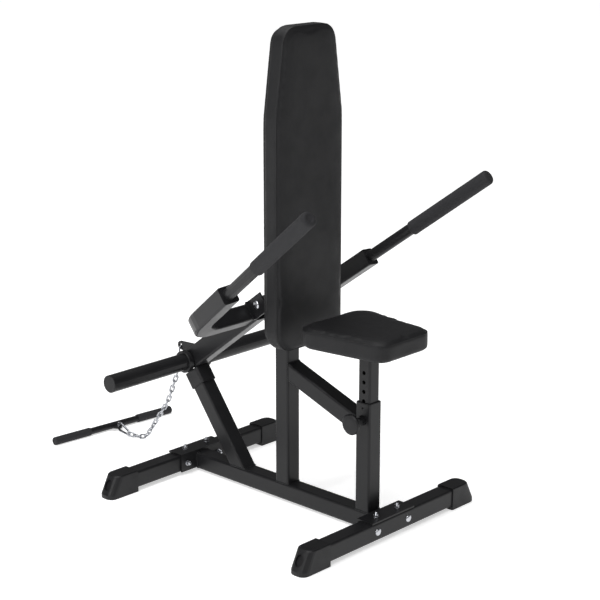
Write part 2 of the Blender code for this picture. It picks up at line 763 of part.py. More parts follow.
def lever_arm(lever):
    start = YOKE_Y - TUBE / 2
    outer = rounded_rect(TUBE, LEVER_HEIGHT, CORNER)
    inner = rounded_rect(TUBE - 2 * WALL, LEVER_HEIGHT - 2 * WALL, CORNER - WALL)
    rings = tube_rings(ring_y, start, LEVER_END, outer, inner)
    made = mesh_object("lever_arm", loft("lever_arm", rings, closed=True), lever)
    saddle = extruded("lever_saddle_cut", ring_x, -0.05, 0.05, circle(HORN_RADIUS + GAP, 32))
    cut(made, saddle, lever, (0, HORN_OFFSET, 0))
    finish(made, "black_powder_coat")


def limb_path(side):
    """Centre line and heading of one yoke limb, from the lever's flank to the limb's open end."""
    reach = YOKE_Y - LIMB_END_Y
    corner_x = LIMB_END_X - reach * math.tan(SPLAY)
    turn = math.pi / 2 - SPLAY
    setback = YOKE_BEND * math.tan(turn / 2)
    centre = Vector((corner_x - setback, YOKE_Y - YOKE_BEND, 0))
    made = [(Vector((TUBE / 2 + GAP, YOKE_Y, 0)), Vector((1, 0, 0)))]
    steps = 9
    for k in range(steps + 1):
        angle = turn * k / steps
        outward = Vector((math.sin(angle), math.cos(angle), 0))
        made.append((centre + YOKE_BEND * outward, Vector((outward.y, -outward.x, 0))))
    made.append((Vector((LIMB_END_X, LIMB_END_Y, 0)), Vector((math.sin(SPLAY), -math.cos(SPLAY), 0))))
    return [(Vector((side * p.x, p.y, 0)), Vector((side * h.x, h.y, 0))) for p, h in made]


def yoke_limb(lever, hand, side):
    """A bent square tube, welded to the lever's flank and open at its far end."""
    outer = rounded_rect(TUBE, TUBE, CORNER)
    inner = rounded_rect(TUBE - 2 * YOKE_WALL, TUBE - 2 * YOKE_WALL, CORNER - YOKE_WALL)
    shells = []
    for outline in (outer, inner):
        rings = []
        for point, heading in limb_path(side):
            across = Vector((-heading.y, heading.x, 0))
            rings.append([point + across * u + Vector((0, 0, v)) for u, v in outline])
        shells.append(rings)
    name = "yoke_limb_" + hand
    mesh = loft(name, shells[0] + list(reversed(shells[1])), closed=True)
    finish(mesh_object(name, mesh, lever), "black_powder_coat")


def pivot_clevis(lever):
    """A web plate on the yoke's front face, with two cheeks that straddle the eye."""
    inner = TUBE / 2
    outer = inner + PLATE
    web_rear = YOKE_Y - TUBE / 2 - GAP
    web_front = web_rear - PLATE
    nose = -0.033
    flange = 0.0385
    outline = [
        (inner, web_front),
        (inner, nose),
        (outer, nose),
        (outer, web_front),
        (flange, web_front),
        (flange, web_rear),
        (-flange, web_rear),
        (-flange, web_front),
        (-outer, web_front),
        (-outer, nose),
        (-inner, nose),
        (-inner, web_front),
    ]
    mesh = extruded("pivot_clevis", ring_z, -CLEVIS_HALF, CLEVIS_HALF, outline)
    made = mesh_object("pivot_clevis", mesh, lever)
    bore = extruded("pivot_clevis_bore", ring_x, -0.05, 0.05, circle(PIVOT_BOLT + GAP, 16))
    cut(made, bore, lever, (0, 0, LEVER_DROP))
    finish(made, "black_powder_coat")
    bolt("pivot_bolt", lever, (-outer, 0, LEVER_DROP), (0, math.pi / 2, 0), 2 * outer,
         radius=PIVOT_BOLT, head=0.0115, hex_across=0.019)


def handles(lever):
    """Round handle tubes on square plates that close the limbs, and a foam grip on each."""
    for hand, side in (("right", -1), ("left", 1)):
        place = (side * LIMB_END_X, LIMB_END_Y, 0)
        turn = (math.pi / 2, 0, side * SPLAY)
        bore = circle(HANDLE_RADIUS - HANDLE_WALL, 16)
        skin = circle(HANDLE_RADIUS, 16)
        plug_side = TUBE - 2 * YOKE_WALL - 2 * GAP
        plug = rounded_rect(plug_side, plug_side, 0.0025)
        plug = plug[-2:] + plug[:-2]
        rings = [
            ring_z(-PLUG_DEPTH - PLUG, bore),
            ring_z(-PLUG_DEPTH - PLUG, plug),
            ring_z(-PLUG_DEPTH, plug),
            ring_z(-PLUG_DEPTH, skin),
            ring_z(GRIP_END - 0.006, skin),
            ring_z(GRIP_END - 0.006, bore),
        ]
        name = "handle_tube_" + hand
        finish(mesh_object(name, loft(name, rings, closed=True), lever, place, turn),
               "black_powder_coat")
        fit = HANDLE_RADIUS + GAP
        profile = [
            (GRIP_END - 0.0055, fit),
            (GRIP_START, fit),
            (GRIP_START, GRIP_RADIUS - 0.0015),
            (GRIP_START + 0.003, GRIP_RADIUS),
            (GRIP_END - 0.008, GRIP_RADIUS),
            (GRIP_END - 0.003, GRIP_RADIUS - 0.0025),
            (GRIP_END, GRIP_RADIUS - 0.008),
        ]
        name = "handle_grip_" + hand
        finish(mesh_object(name, turned(name, ring_z, profile, sides=20), lever, place, turn),
               "black_foam_rubber")


def weight_horn(lever):
    """The plate horn: a tube with a welded stop collar on each side of the lever, and end plugs."""
    place = (0, HORN_OFFSET, 0)
    half = [
        (COLLAR_IN, HORN_RADIUS),
        (COLLAR_IN, COLLAR_RADIUS),
        (COLLAR_OUT - 0.0015, COLLAR_RADIUS),
        (COLLAR_OUT, COLLAR_RADIUS - 0.0015),
        (COLLAR_OUT, HORN_RADIUS),
        (HORN_HALF, HORN_RADIUS),
        (HORN_HALF, HORN_RADIUS - HORN_WALL),
    ]
    profile = [(-x, r) for x, r in reversed(half)] + half
    made = mesh_object("weight_horn", turned("weight_horn", ring_x, profile, 28, closed=True),
                       lever, place)
    finish(made, "black_powder_coat")
    for hand, side in (("right", -1), ("left", 1)):
        insert = HORN_RADIUS - HORN_WALL - GAP
        profile = [
            (side * (HORN_HALF - 0.012), insert),
            (side * (HORN_HALF + GAP), insert),
            (side * (HORN_HALF + GAP), HORN_RADIUS),
            (side * (HORN_HALF + 0.0020), HORN_RADIUS),
            (side * (HORN_HALF + 0.0033), HORN_RADIUS - 0.0013),
        ]
        name = "horn_plug_" + hand
        finish(mesh_object(name, turned(name, ring_x, profile, 28), lever, place), "black_plastic")


def chain_lug(lever):
    """A plate on top of the lever's rear end, with a hole for the chain."""
    base_z = LEVER_HEIGHT / 2 + GAP
    start = math.radians(-48)
    end = math.radians(118)
    outline = [(HORN_OFFSET - 0.040, base_z), (HORN_OFFSET + 0.014, base_z)]
    outline += arc(LUG_HOLE_Y, LUG_HOLE_Z, LUG_HEAD, start, end, 10)
    mesh = extruded("chain_lug", ring_x, -0.003, 0.003, outline)
    made = mesh_object("chain_lug", mesh, lever)
    hole = extruded("chain_lug_hole", ring_x, -0.01, 0.01, circle(LUG_HOLE, 16))
    cut(made, hole, lever, (0, LUG_HOLE_Y, LUG_HOLE_Z))
    finish(made, "black_powder_coat")


# ---- chain, carabiner and row bar -----------------------------------------------------------------------------------------
def smooth_route(points, steps):
    """Catmull-Rom curve through the points, with evenly spaced samples."""
    padded = [points[0] * 2 - points[1]] + points + [points[-1] * 2 - points[-2]]
    fine = []
    for a, b, c, d in zip(padded, padded[1:], padded[2:], padded[3:]):
        for k in range(12):
            t = k / 12
            fine.append(0.5 * (2 * b + (c - a) * t + (2 * a - 5 * b + 4 * c - d) * t * t
                               + (3 * b - a - 3 * c + d) * t * t * t))
    fine.append(points[-1])
    run = [0.0]
    for p, q in zip(fine, fine[1:]):
        run.append(run[-1] + (q - p).length)
    made = []
    place = 0
    for k in range(steps + 1):
        want = run[-1] * k / steps
        while place < len(run) - 2 and run[place + 1] < want:
            place += 1
        share = (want - run[place]) / max(run[place + 1] - run[place], 1e-9)
        made.append(fine[place].lerp(fine[place + 1], min(max(share, 0.0), 1.0)))
    return made


def chain_piece(name, hinge, hinge_place, points):
    """A plain tube along the chain's middle line."""
    curve = bpy.data.curves.new(name, "CURVE")
    curve.dimensions = "3D"
    curve.bevel_depth = CHAIN_RADIUS
    curve.bevel_resolution = 2
    curve.use_fill_caps = True
    spline = curve.splines.new("POLY")
    spline.points.add(len(points) - 1)
    for slot, point in zip(spline.points, points):
        slot.co = (*(point - Vector(hinge_place)), 1.0)
    made = bpy.data.objects.new(name, curve)
    bpy.context.scene.collection.objects.link(made)
    made.parent = hinge
    made.data.materials.append(material("zinc_steel", name))
    return made


def chain(upper_hinge, lower_hinge):
    """The top link in the lug's hole, then the hanging chain in two lengths."""
    half = LINK_HALF
    straight = LINK_LENGTH / 2 - half
    centre = Vector((0, 0, -LINK_LENGTH / 2))
    path = []
    for start, height in ((0, straight), (math.pi, -straight)):
        for k in range(7):
            angle = start + math.pi * k / 6
            bow = Vector((half * math.cos(angle), 0, height + half * math.sin(angle)))
            path.append(centre + bow)
    mesh = loop_sweep("chain_top_link", path, Vector((0, 1, 0)), LINK_WIRE)
    finish(mesh_object("chain_top_link", mesh, upper_hinge), "zinc_steel")

    route = smooth_route([Vector(p) for p in CHAIN_ROUTE], 66)
    bend = Vector((LOWER_HINGE_X, LOWER_HINGE_Y, LOWER_HINGE_Z))
    upper = [p for p in route if (p - bend).length > CHAIN_BREAK and p.z > LOWER_HINGE_Z]
    lower = [p for p in route if (p - bend).length > CHAIN_BREAK and p.z < LOWER_HINGE_Z]
    chain_piece("chain_upper", upper_hinge, (0, CHAIN_Y, CHAIN_Z), upper)
    chain_piece("chain_lower", lower_hinge, (0, LOWER_HINGE_Y, LOWER_HINGE_Z), lower)


def carabiner(lower_hinge, bar_frame):
    """A pear-shaped snap hook standing on its long side, through the tab's hole."""
    hole = bar_frame @ Vector((0, -TAB_REACH, 0))
    end = Vector(CHAIN_ROUTE[-1])
    ahead = Vector((end.x - hole.x, end.y - hole.y, 0)).normalized()
    wide_z = CARABINER_WIRE + CARABINER_WIDE + GAP
    narrow_z = CARABINER_WIRE + CARABINER_NARROW + GAP
    wide = Vector((hole.x, hole.y, 0)) + ahead * CARABINER_WIDE + Vector((0, 0, wide_z))
    level = math.sqrt(CARABINER_CENTRES ** 2 - (wide_z - narrow_z) ** 2)
    narrow = wide + ahead * level + Vector((0, 0, narrow_z - wide_z))
    axis = (narrow - wide).normalized()
    normal = axis.cross(Vector((0, 0, 1))).normalized()
    up = normal.cross(axis)
    lean = math.asin((CARABINER_WIDE - CARABINER_NARROW) / CARABINER_CENTRES)
    quarter = math.pi / 2
    path = []
    for k in range(13):
        angle = quarter - lean + (math.pi + 2 * lean) * k / 12
        path.append(wide + CARABINER_WIDE * (axis * math.cos(angle) + up * math.sin(angle)))
    for k in range(9):
        angle = -quarter + lean + (math.pi - 2 * lean) * k / 8
        path.append(narrow + CARABINER_NARROW * (axis * math.cos(angle) + up * math.sin(angle)))
    shift = Vector((0, LOWER_HINGE_Y, LOWER_HINGE_Z))
    path = [point - shift for point in path]
    mesh = loop_sweep("carabiner", path, normal, CARABINER_WIRE)
    finish(mesh_object("carabiner", mesh, lower_hinge), "zinc_steel")


def row_bar(lower_hinge, place, turn):
    """A straight bar with a welded tab for the carabiner and a foam grip at each end."""
    half = ROW_BAR_HALF - 0.004
    outer = circle(ROW_TUBE_RADIUS, 16)
    inner = circle(ROW_TUBE_RADIUS - 0.002, 16)
    mesh = loft("row_bar", tube_rings(ring_x, -half, half, outer, inner), closed=True)
    made = mesh_object("row_bar", mesh, lower_hinge, place, turn)
    depth = 0.004
    outline = [(0.026, -ROW_TUBE_RADIUS + 0.0012), (-0.026, -ROW_TUBE_RADIUS + 0.0012)]
    outline += arc(0, -TAB_REACH, 0.012, math.radians(200), math.radians(340), 8)
    tab = extruded("row_bar_tab", ring_z, -depth / 2, depth / 2, outline)
    unite(made, tab, lower_hinge, place, turn)
    hole = extruded("row_bar_tab_hole", ring_z, -0.01, 0.01, shifted(circle(0.0062, 16), 0, -TAB_REACH))
    cut(made, hole, lower_hinge, place, turn)
    finish(made, "black_powder_coat")
    for hand, side in (("right", -1), ("left", 1)):
        fit = ROW_TUBE_RADIUS + GAP
        start = ROW_BAR_HALF - ROW_GRIP_LENGTH
        profile = [
            (side * (ROW_BAR_HALF - 0.0035), fit),
            (side * start, fit),
            (side * start, ROW_GRIP_RADIUS - 0.001),
            (side * (start + 0.001), ROW_GRIP_RADIUS),
            (side * (ROW_BAR_HALF - 0.002), ROW_GRIP_RADIUS),
            (side * ROW_BAR_HALF, ROW_GRIP_RADIUS - 0.002),
        ]
        name = "row_grip_" + hand
        finish(mesh_object(name, turned(name, ring_x, profile, sides=20), lower_hinge, place, turn),
               "black_foam_rubber")


def build():
    clear_scene()
    root = empty("machine", location=(0, -FOOTPRINT_MIDDLE_Y, 0))
    base(root)
    upright(root)
    receiver(root)
    seat_bushing(root)
    brace(root)
    strut(root)
    pivot_arm(root)
    backrest(root)
    seat(empty("seat_slide", root, (0, SEAT_Y, PIN_Z)))
    pin_parts(root, empty("pin_slide", root, (0, SEAT_Y, PIN_Z)))
    pivot = empty("lever_pivot", root, (0, PIVOT_Y, PIVOT_Z), (-LEVER_ANGLE, 0, 0))
    lever = empty("lever_line", pivot, (0, 0, -LEVER_DROP))
    lever_arm(lever)
    yoke_limb(lever, "right", -1)
    yoke_limb(lever, "left", 1)
    pivot_clevis(lever)
    handles(lever)
    weight_horn(lever)
    chain_lug(lever)
    upper_hinge = empty("chain_upper_hinge", root, (0, CHAIN_Y, CHAIN_Z))
    lower_hinge = empty("chain_lower_hinge", root, (0, LOWER_HINGE_Y, LOWER_HINGE_Z))
    chain(upper_hinge, lower_hinge)
    bar_frame = Matrix.Translation((BAR_X, BAR_Y, 0)) @ Matrix.Rotation(BAR_TURN, 4, "Z")
    carabiner(lower_hinge, bar_frame)
    bar_place = Vector((BAR_X, BAR_Y - LOWER_HINGE_Y, ROW_GRIP_RADIUS - LOWER_HINGE_Z))
    row_bar(lower_hinge, bar_place, (0, 0, BAR_TURN))


build()
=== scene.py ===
"""Looks for the plate-loaded seated press machine: pads, chain, bolts, welds, grips and materials.

Everything is in metres in the row frame: +Z up, the seated user faces -Y, the origin is on the
floor at the middle of the footprint. Axes are numbered 0, 1, 2 for x, y, z.
"""
import json
import math

import bmesh
import bpy
import numpy as np
from mathutils import Matrix, Vector, noise
from mathutils.bvhtree import BVHTree
from mathutils.geometry import convex_hull_2d


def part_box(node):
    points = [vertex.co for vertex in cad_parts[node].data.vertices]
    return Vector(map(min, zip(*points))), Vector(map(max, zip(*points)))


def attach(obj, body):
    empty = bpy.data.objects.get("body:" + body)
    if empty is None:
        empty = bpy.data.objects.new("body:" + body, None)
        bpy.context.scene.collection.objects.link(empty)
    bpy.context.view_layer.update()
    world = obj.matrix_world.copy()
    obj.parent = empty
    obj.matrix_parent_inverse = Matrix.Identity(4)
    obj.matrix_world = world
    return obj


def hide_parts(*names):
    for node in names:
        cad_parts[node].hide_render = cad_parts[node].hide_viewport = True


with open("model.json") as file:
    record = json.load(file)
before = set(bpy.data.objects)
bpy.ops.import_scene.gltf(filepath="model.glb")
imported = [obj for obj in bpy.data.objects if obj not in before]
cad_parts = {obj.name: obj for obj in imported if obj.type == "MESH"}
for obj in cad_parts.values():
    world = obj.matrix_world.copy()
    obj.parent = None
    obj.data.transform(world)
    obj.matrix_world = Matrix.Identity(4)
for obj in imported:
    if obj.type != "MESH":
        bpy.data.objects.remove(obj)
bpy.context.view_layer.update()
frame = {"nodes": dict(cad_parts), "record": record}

# ---- camera --------------------------------------------------------------------------
CAMERA_PLACE = Vector((-3.142, -3.2031, 1.796))
CAMERA_TURN = math.radians(46.82)    # heading, from +Y towards +X
CAMERA_DIP = math.radians(15.5)
CAMERA_LENS = 97.6                   # millimetres, on a 36 mm sensor
CAMERA_SENSOR = 36.0

# ---- light ---------------------------------------------------------------------------
FLOOR_GLOW = 0.54
WORLD_LIGHT = 0.12
SUN_LIGHT = 1.6
SUN_SPREAD = math.radians(40)
SUN_TURN = (math.radians(8), math.radians(-26), 0)
FLOOR_HALF = 60.0
LIGHT_AIM = Vector((0, 0, 0.6))      # every area light points at the machine's middle
AREA_LIGHTS = (                      # name, place, size, power
    ("key", (-3.6, -0.1, 2.0), (0.35, 2.2), 40),
    ("top", (0.2, 0.8, 4.2), (2.4, 2.4), 64),
    ("edge", (-4.4, -2.3, 1.5), (0.16, 2.0), 16),
    ("front", (-0.4, -4.4, 1.8), (0.3, 1.6), 5),
)

# ---- chain: its route is that of the CAD's chain -------------------------------------
SHIFT_Y = 0.2061                     # the CAD draws the upright post at y = 0
CHAIN_HINGE = Vector((0.0, 0.437 - SHIFT_Y, 0.3677))      # where the top link hangs in its lug
CHAIN_ROUTE = (
    (0.0000, 0.4370, 0.3388),
    (0.0010, 0.4440, 0.3140),
    (0.0040, 0.4640, 0.2700),
    (0.0080, 0.4880, 0.2250),
    (0.0140, 0.5160, 0.1750),
    (0.0220, 0.5600, 0.1200),
    (0.0290, 0.5957, 0.0790),
    (0.0370, 0.6293, 0.0416),
    (0.0430, 0.6560, 0.0160),
    (0.0400, 0.6800, 0.0078),
    (0.0340, 0.6990, 0.0078),
    (0.0292, 0.7138, 0.0095),
)
CHAIN_BEND = 7                       # the route point where the lower length begins
BEND_AHEAD = 4                       # steps past the bend that give the lower length's heading
CHAIN_INTO_HOOK = 0.0095             # how far the last link reaches past the route into the hook
ROUTE_STEP = 0.0020
LINK_WIRE = 0.0024                   # the wire's radius
LINK_HALF_WIDTH = 0.0057             # wire centre to link centre
LINK_PITCH = 0.0215
LINK_TWIST = 45                      # degrees that the chain is turned about its own line
LINK_WANDER = 6                      # degrees by which single links stray from that
WANDER_STEP = 2.4                    # radians from one link's stray to the next one's
TWIST_LINKS = 3                      # the number of links over which the twist builds up
LINK_ARC_STEPS = 8
TOP_LINK_WIRE = 0.0025
TOP_LINK_REACH = 0.0260
TOP_LINK_HALF = 0.0080


# ---- small geometry ------------------------------------------------------------------
ROUND_SIDES = 48
X_AXIS = Vector((1, 0, 0))
Y_AXIS = Vector((0, 1, 0))
Z_AXIS = Vector((0, 0, 1))


def facing_along(axis, sign=1):
    """The unit vector along a numbered axis."""
    return Vector([sign if k == axis else 0 for k in range(3)])


def circle(radius, sides):
    step = 2 * math.pi / sides
    return [(radius * math.cos(k * step), radius * math.sin(k * step)) for k in range(sides)]


def add_loft(work, rings, closed=False, capped=True):
    """Skin rings of equal count into a bmesh."""
    made = [[work.verts.new(point) for point in ring] for ring in rings]
    count = len(made[0])
    pairs = list(zip(made, made[1:]))
    if closed:
        pairs.append((made[-1], made[0]))
    faces = []
    for low, high in pairs:
        for k in range(count):
            n = (k + 1) % count
            faces.append(work.faces.new((low[k], low[n], high[n], high[k])))
    if capped and not closed:
        faces.append(work.faces.new(list(reversed(made[0]))))
        faces.append(work.faces.new(made[-1]))
    return faces


def sweep_rings(path, up, radius, sides=10, closed=False):
    """Rings of a round wire along a path; up is any direction not along it.

    radius is one value, or a list with one value for each point of the path.
    """
    rings = []
    count = len(path)
    for k in range(count):
        ahead = path[(k + 1) % count] if closed or k < count - 1 else path[k]
        behind = path[k - 1] if closed or k > 0 else path[k]
        tangent = (ahead - behind).normalized()
        side = tangent.cross(up).normalized()
        above = side.cross(tangent)
        r = radius[k] if isinstance(radius, (list, tuple)) else radius
        rings.append([path[k] + side * u + above * v for u, v in circle(r, sides)])
    return rings


def to_mesh(work, name, smooth_angle=40):
    """Turn a bmesh into a smooth mesh whose edges stay sharp beyond an angle in degrees."""
    bmesh.ops.recalc_face_normals(work, faces=work.faces)
    mesh = bpy.data.meshes.new(name)
    work.to_mesh(mesh)
    work.free()
    mesh.shade_smooth()
    mesh.set_sharp_from_angle(angle=math.radians(smooth_angle))
    return mesh


def piece(name, mesh, body, look, replaces=()):
    """A finished piece that rides on a CAD body."""
    made = bpy.data.objects.new(name, mesh)
    bpy.context.scene.collection.objects.link(made)
    mesh.materials.clear()
    mesh.materials.append(look)
    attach(made, body)
    if replaces:
        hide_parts(*replaces)
    return made


def smooth_route(points, spacing):
    """Catmull-Rom curve through the points, sampled at an even spacing."""
    padded = [points[0] * 2 - points[1]] + points + [points[-1] * 2 - points[-2]]
    fine = []
    parts = 16
    for a, b, c, d in zip(padded, padded[1:], padded[2:], padded[3:]):
        for k in range(parts):
            t = k / parts
            fine.append(0.5 * (2 * b + (c - a) * t + (2 * a - 5 * b + 4 * c - d) * t * t
                               + (3 * b - a - 3 * c + d) * t * t * t))
    fine.append(points[-1])
    run = measure(fine)
    steps = max(2, round(run[-1] / spacing))
    return [along(fine, run, run[-1] * k / steps) for k in range(steps + 1)]


def along(line, run, want):
    """The point of a line at a wanted run from its start."""
    for k in range(len(run) - 1):
        if run[k + 1] >= want:
            share = (want - run[k]) / max(run[k + 1] - run[k], 1e-9)
            return line[k].lerp(line[k + 1], share)
    return line[-1].copy()


def measure(line):
    """The run of each point of a line, from its start."""
    run = [0.0]
    for p, q in zip(line, line[1:]):
        run.append(run[-1] + (q - p).length)
    return run


# ---- materials -----------------------------------------------------------------------
def new_look(name, colour, roughness, metallic=0.0, specular=0.5):
    look = bpy.data.materials.new(name)
    look.use_nodes = True
    shader = look.node_tree.nodes["Principled BSDF"]
    shader.inputs["Base Color"].default_value = (*colour, 1.0)
    shader.inputs["Roughness"].default_value = roughness
    shader.inputs["Metallic"].default_value = metallic
    shader.inputs["Specular IOR Level"].default_value = specular
    return look, shader


def add_node(look, kind, **settings):
    made = look.node_tree.nodes.new(kind)
    for key, value in settings.items():
        setattr(made, key, value)
    return made


def join(look, source, target):
    look.node_tree.links.new(source, target)


def object_space(look):
    return add_node(look, "ShaderNodeTexCoord").outputs["Object"]


def grain(look, kind, scale, detail=2.0):
    """A noise or Voronoi texture in object space; scale is in cells per metre."""
    made = add_node(look, kind)
    made.inputs["Scale"].default_value = scale
    if "Detail" in made.inputs:
        made.inputs["Detail"].default_value = detail
    join(look, object_space(look), made.inputs["Vector"])
    return made


def spread(look, source, low, high):
    """Map the middle of a texture's 0..1 range, where most of it lies, onto low..high."""
    made = add_node(look, "ShaderNodeMapRange")
    made.inputs["From Min"].default_value = 0.3
    made.inputs["From Max"].default_value = 0.7
    made.inputs["To Min"].default_value = low
    made.inputs["To Max"].default_value = high
    join(look, source, made.inputs["Value"])
    return made.outputs["Result"]


def bump(look, source, strength, depth, under=None):
    made = add_node(look, "ShaderNodeBump")
    made.inputs["Strength"].default_value = strength
    made.inputs["Distance"].default_value = depth
    join(look, source, made.inputs["Height"])
    if under is not None:
        join(look, under, made.inputs["Normal"])
    return made.outputs["Normal"]


def two_tone(look, source, dark, light):
    made = add_node(look, "ShaderNodeMix", data_type="RGBA")
    made.inputs["A"].default_value = (*dark, 1.0)
    made.inputs["B"].default_value = (*light, 1.0)
    join(look, source, made.inputs["Factor"])
    return made.outputs["Result"]


def powder_coat():
    """Satin black powder coat: fine orange peel, faint cloudiness and dust."""
    look, shader = new_look("powder_coat", (0.009, 0.009, 0.010), 0.32, 0.0, 0.24)
    peel = grain(look, "ShaderNodeTexNoise", 900, 2.0)
    cloud = grain(look, "ShaderNodeTexNoise", 14, 4.0)
    join(look, spread(look, cloud.outputs["Fac"], 0.28, 0.37), shader.inputs["Roughness"])
    join(look, two_tone(look, cloud.outputs["Fac"], (0.009, 0.009, 0.010), (0.014, 0.014, 0.015)),
         shader.inputs["Base Color"])
    join(look, bump(look, peel.outputs["Fac"], 0.06, 0.0003), shader.inputs["Normal"])
    return look


def leatherette():
    """Black vinyl upholstery: pebbled grain over faint soft folds."""
    look, shader = new_look("leatherette", (0.009, 0.009, 0.010), 0.5, 0.0, 0.26)
    pebble = grain(look, "ShaderNodeTexVoronoi", 760)
    pore = grain(look, "ShaderNodeTexNoise", 1500, 3.0)
    fold = grain(look, "ShaderNodeTexNoise", 22, 3.0)
    soft = bump(look, fold.outputs["Fac"], 0.16, 0.004)
    coarse = bump(look, pebble.outputs["Distance"], 0.30, 0.0005, soft)
    fine = bump(look, pore.outputs["Fac"], 0.20, 0.0003, coarse)
    join(look, fine, shader.inputs["Normal"])
    join(look, spread(look, fold.outputs["Fac"], 0.46, 0.58), shader.inputs["Roughness"])
    join(look, two_tone(look, pebble.outputs["Distance"], (0.006, 0.006, 0.007),
                        (0.011, 0.011, 0.012)), shader.inputs["Base Color"])
    return look


def foam_grip():
    """Matte black foam rubber with a fine open-cell skin."""
    look, shader = new_look("foam_grip", (0.020, 0.020, 0.022), 0.78, 0.0, 0.30)
    cell = grain(look, "ShaderNodeTexVoronoi", 1300)
    speck = grain(look, "ShaderNodeTexNoise", 420, 5.0)
    under = bump(look, cell.outputs["Distance"], 0.35, 0.0005)
    join(look, bump(look, speck.outputs["Fac"], 0.25, 0.0006, under), shader.inputs["Normal"])
    join(look, spread(look, speck.outputs["Fac"], 0.70, 0.86), shader.inputs["Roughness"])
    join(look, two_tone(look, speck.outputs["Fac"], (0.015, 0.015, 0.017), (0.026, 0.026, 0.028)),
         shader.inputs["Base Color"])
    return look


def moulded_plastic():
    """Injection-moulded black plastic with a spark-eroded matte texture."""
    look, shader = new_look("moulded_plastic", (0.008, 0.008, 0.009), 0.42, 0.0, 0.30)
    spark = grain(look, "ShaderNodeTexNoise", 1900, 2.0)
    flow = grain(look, "ShaderNodeTexNoise", 30, 3.0)
    join(look, bump(look, spark.outputs["Fac"], 0.28, 0.0003), shader.inputs["Normal"])
    join(look, spread(look, flow.outputs["Fac"], 0.42, 0.56), shader.inputs["Roughness"])
    join(look, two_tone(look, flow.outputs["Fac"], (0.006, 0.006, 0.007), (0.010, 0.010, 0.011)),
         shader.inputs["Base Color"])
    return look


def zinc_plate(name, dark, light):
    """Zinc plating: clear steel with a soft mottled haze."""
    look, shader = new_look(name, light, 0.26, 1.0)
    haze = grain(look, "ShaderNodeTexNoise", 260, 4.0)
    scratch = grain(look, "ShaderNodeTexNoise", 1400, 3.0)
    join(look, spread(look, haze.outputs["Fac"], 0.18, 0.36), shader.inputs["Roughness"])
    join(look, two_tone(look, haze.outputs["Fac"], dark, light), shader.inputs["Base Color"])
    join(look, bump(look, scratch.outputs["Fac"], 0.12, 0.0002), shader.inputs["Normal"])
    return look


def stained_ply():
    """Black-stained plywood: long grain along the board."""
    look, shader = new_look("stained_ply", (0.05, 0.042, 0.035), 0.7, 0.0, 0.35)
    stretch = add_node(look, "ShaderNodeMapping")
    stretch.inputs["Scale"].default_value = (180, 180, 9)
    join(look, object_space(look), stretch.inputs["Vector"])
    fibre = add_node(look, "ShaderNodeTexNoise")
    fibre.inputs["Scale"].default_value = 1.0
    fibre.inputs["Detail"].default_value = 5.0
    join(look, stretch.outputs["Vector"], fibre.inputs["Vector"])
    join(look, two_tone(look, fibre.outputs["Fac"], (0.009, 0.008, 0.007), (0.026, 0.022, 0.018)),
         shader.inputs["Base Color"])
    join(look, bump(look, fibre.outputs["Fac"], 0.35, 0.0006), shader.inputs["Normal"])
    join(look, spread(look, fibre.outputs["Fac"], 0.6, 0.8), shader.inputs["Roughness"])
    return look


LOOKS = {                            # by the CAD's material slot
    "frame_paint": powder_coat(),
    "leatherette": leatherette(),
    "grip": foam_grip(),
    "plastic": moulded_plastic(),
    "zinc": zinc_plate("zinc_plate", (0.42, 0.43, 0.46), (0.66, 0.67, 0.70)),
    "wood": stained_ply(),
}
CHAIN_LOOK = zinc_plate("chain_zinc", (0.24, 0.25, 0.27), (0.56, 0.57, 0.60))


def dress_frame():
    """Every carried-over CAD node gets its procedural material and smooth round faces."""
    own_look = {"carabiner": CHAIN_LOOK}
    round_angle = math.radians(32)
    slot_of = {part["node"]: part["material_slot"] for part in frame["record"]["subparts"]}
    for name, node in frame["nodes"].items():
        node.data.materials.clear()
        node.data.materials.append(own_look.get(name, LOOKS[slot_of[name]]))
        node.data.shade_smooth()
        node.data.set_sharp_from_angle(angle=round_angle)


# ---- camera, floor and lights --------------------------------------------------------
def camera():
    """A long lens in front of the machine, on its -X side, above it and looking down."""
    data = bpy.data.cameras.new("camera")
    data.lens = CAMERA_LENS
    data.sensor_width = CAMERA_SENSOR
    made = bpy.data.objects.new("camera", data)
    bpy.context.scene.collection.objects.link(made)
    made.location = CAMERA_PLACE
    level = math.cos(CAMERA_DIP)
    heading = Vector((level * math.sin(CAMERA_TURN), level * math.cos(CAMERA_TURN),
                      -math.sin(CAMERA_DIP)))
    made.rotation_euler = heading.to_track_quat("-Z", "Y").to_euler()
    bpy.context.scene.camera = made


def floor():
    """A white floor that glows a little, so that it stays white and still takes shadows."""
    work = bmesh.new()
    signs = ((-1, -1), (1, -1), (1, 1), (-1, 1))
    work.faces.new([work.verts.new((x * FLOOR_HALF, y * FLOOR_HALF, 0)) for x, y in signs])
    mesh = bpy.data.meshes.new("floor")
    work.to_mesh(mesh)
    work.free()
    look, shader = new_look("floor", (0.86, 0.86, 0.86), 0.9, 0.0, 0.1)
    shader.inputs["Emission Color"].default_value = (1, 1, 1, 1)
    shader.inputs["Emission Strength"].default_value = FLOOR_GLOW
    mesh.materials.append(look)
    made = bpy.data.objects.new("floor", mesh)
    bpy.context.scene.collection.objects.link(made)


def area_light(name, place, size, power):
    data = bpy.data.lights.new(name, "AREA")
    data.shape = "RECTANGLE"
    data.size, data.size_y = size
    data.energy = power
    made = bpy.data.objects.new(name, data)
    bpy.context.scene.collection.objects.link(made)
    made.location = place
    made.rotation_euler = (LIGHT_AIM - Vector(place)).to_track_quat("-Z", "Y").to_euler()


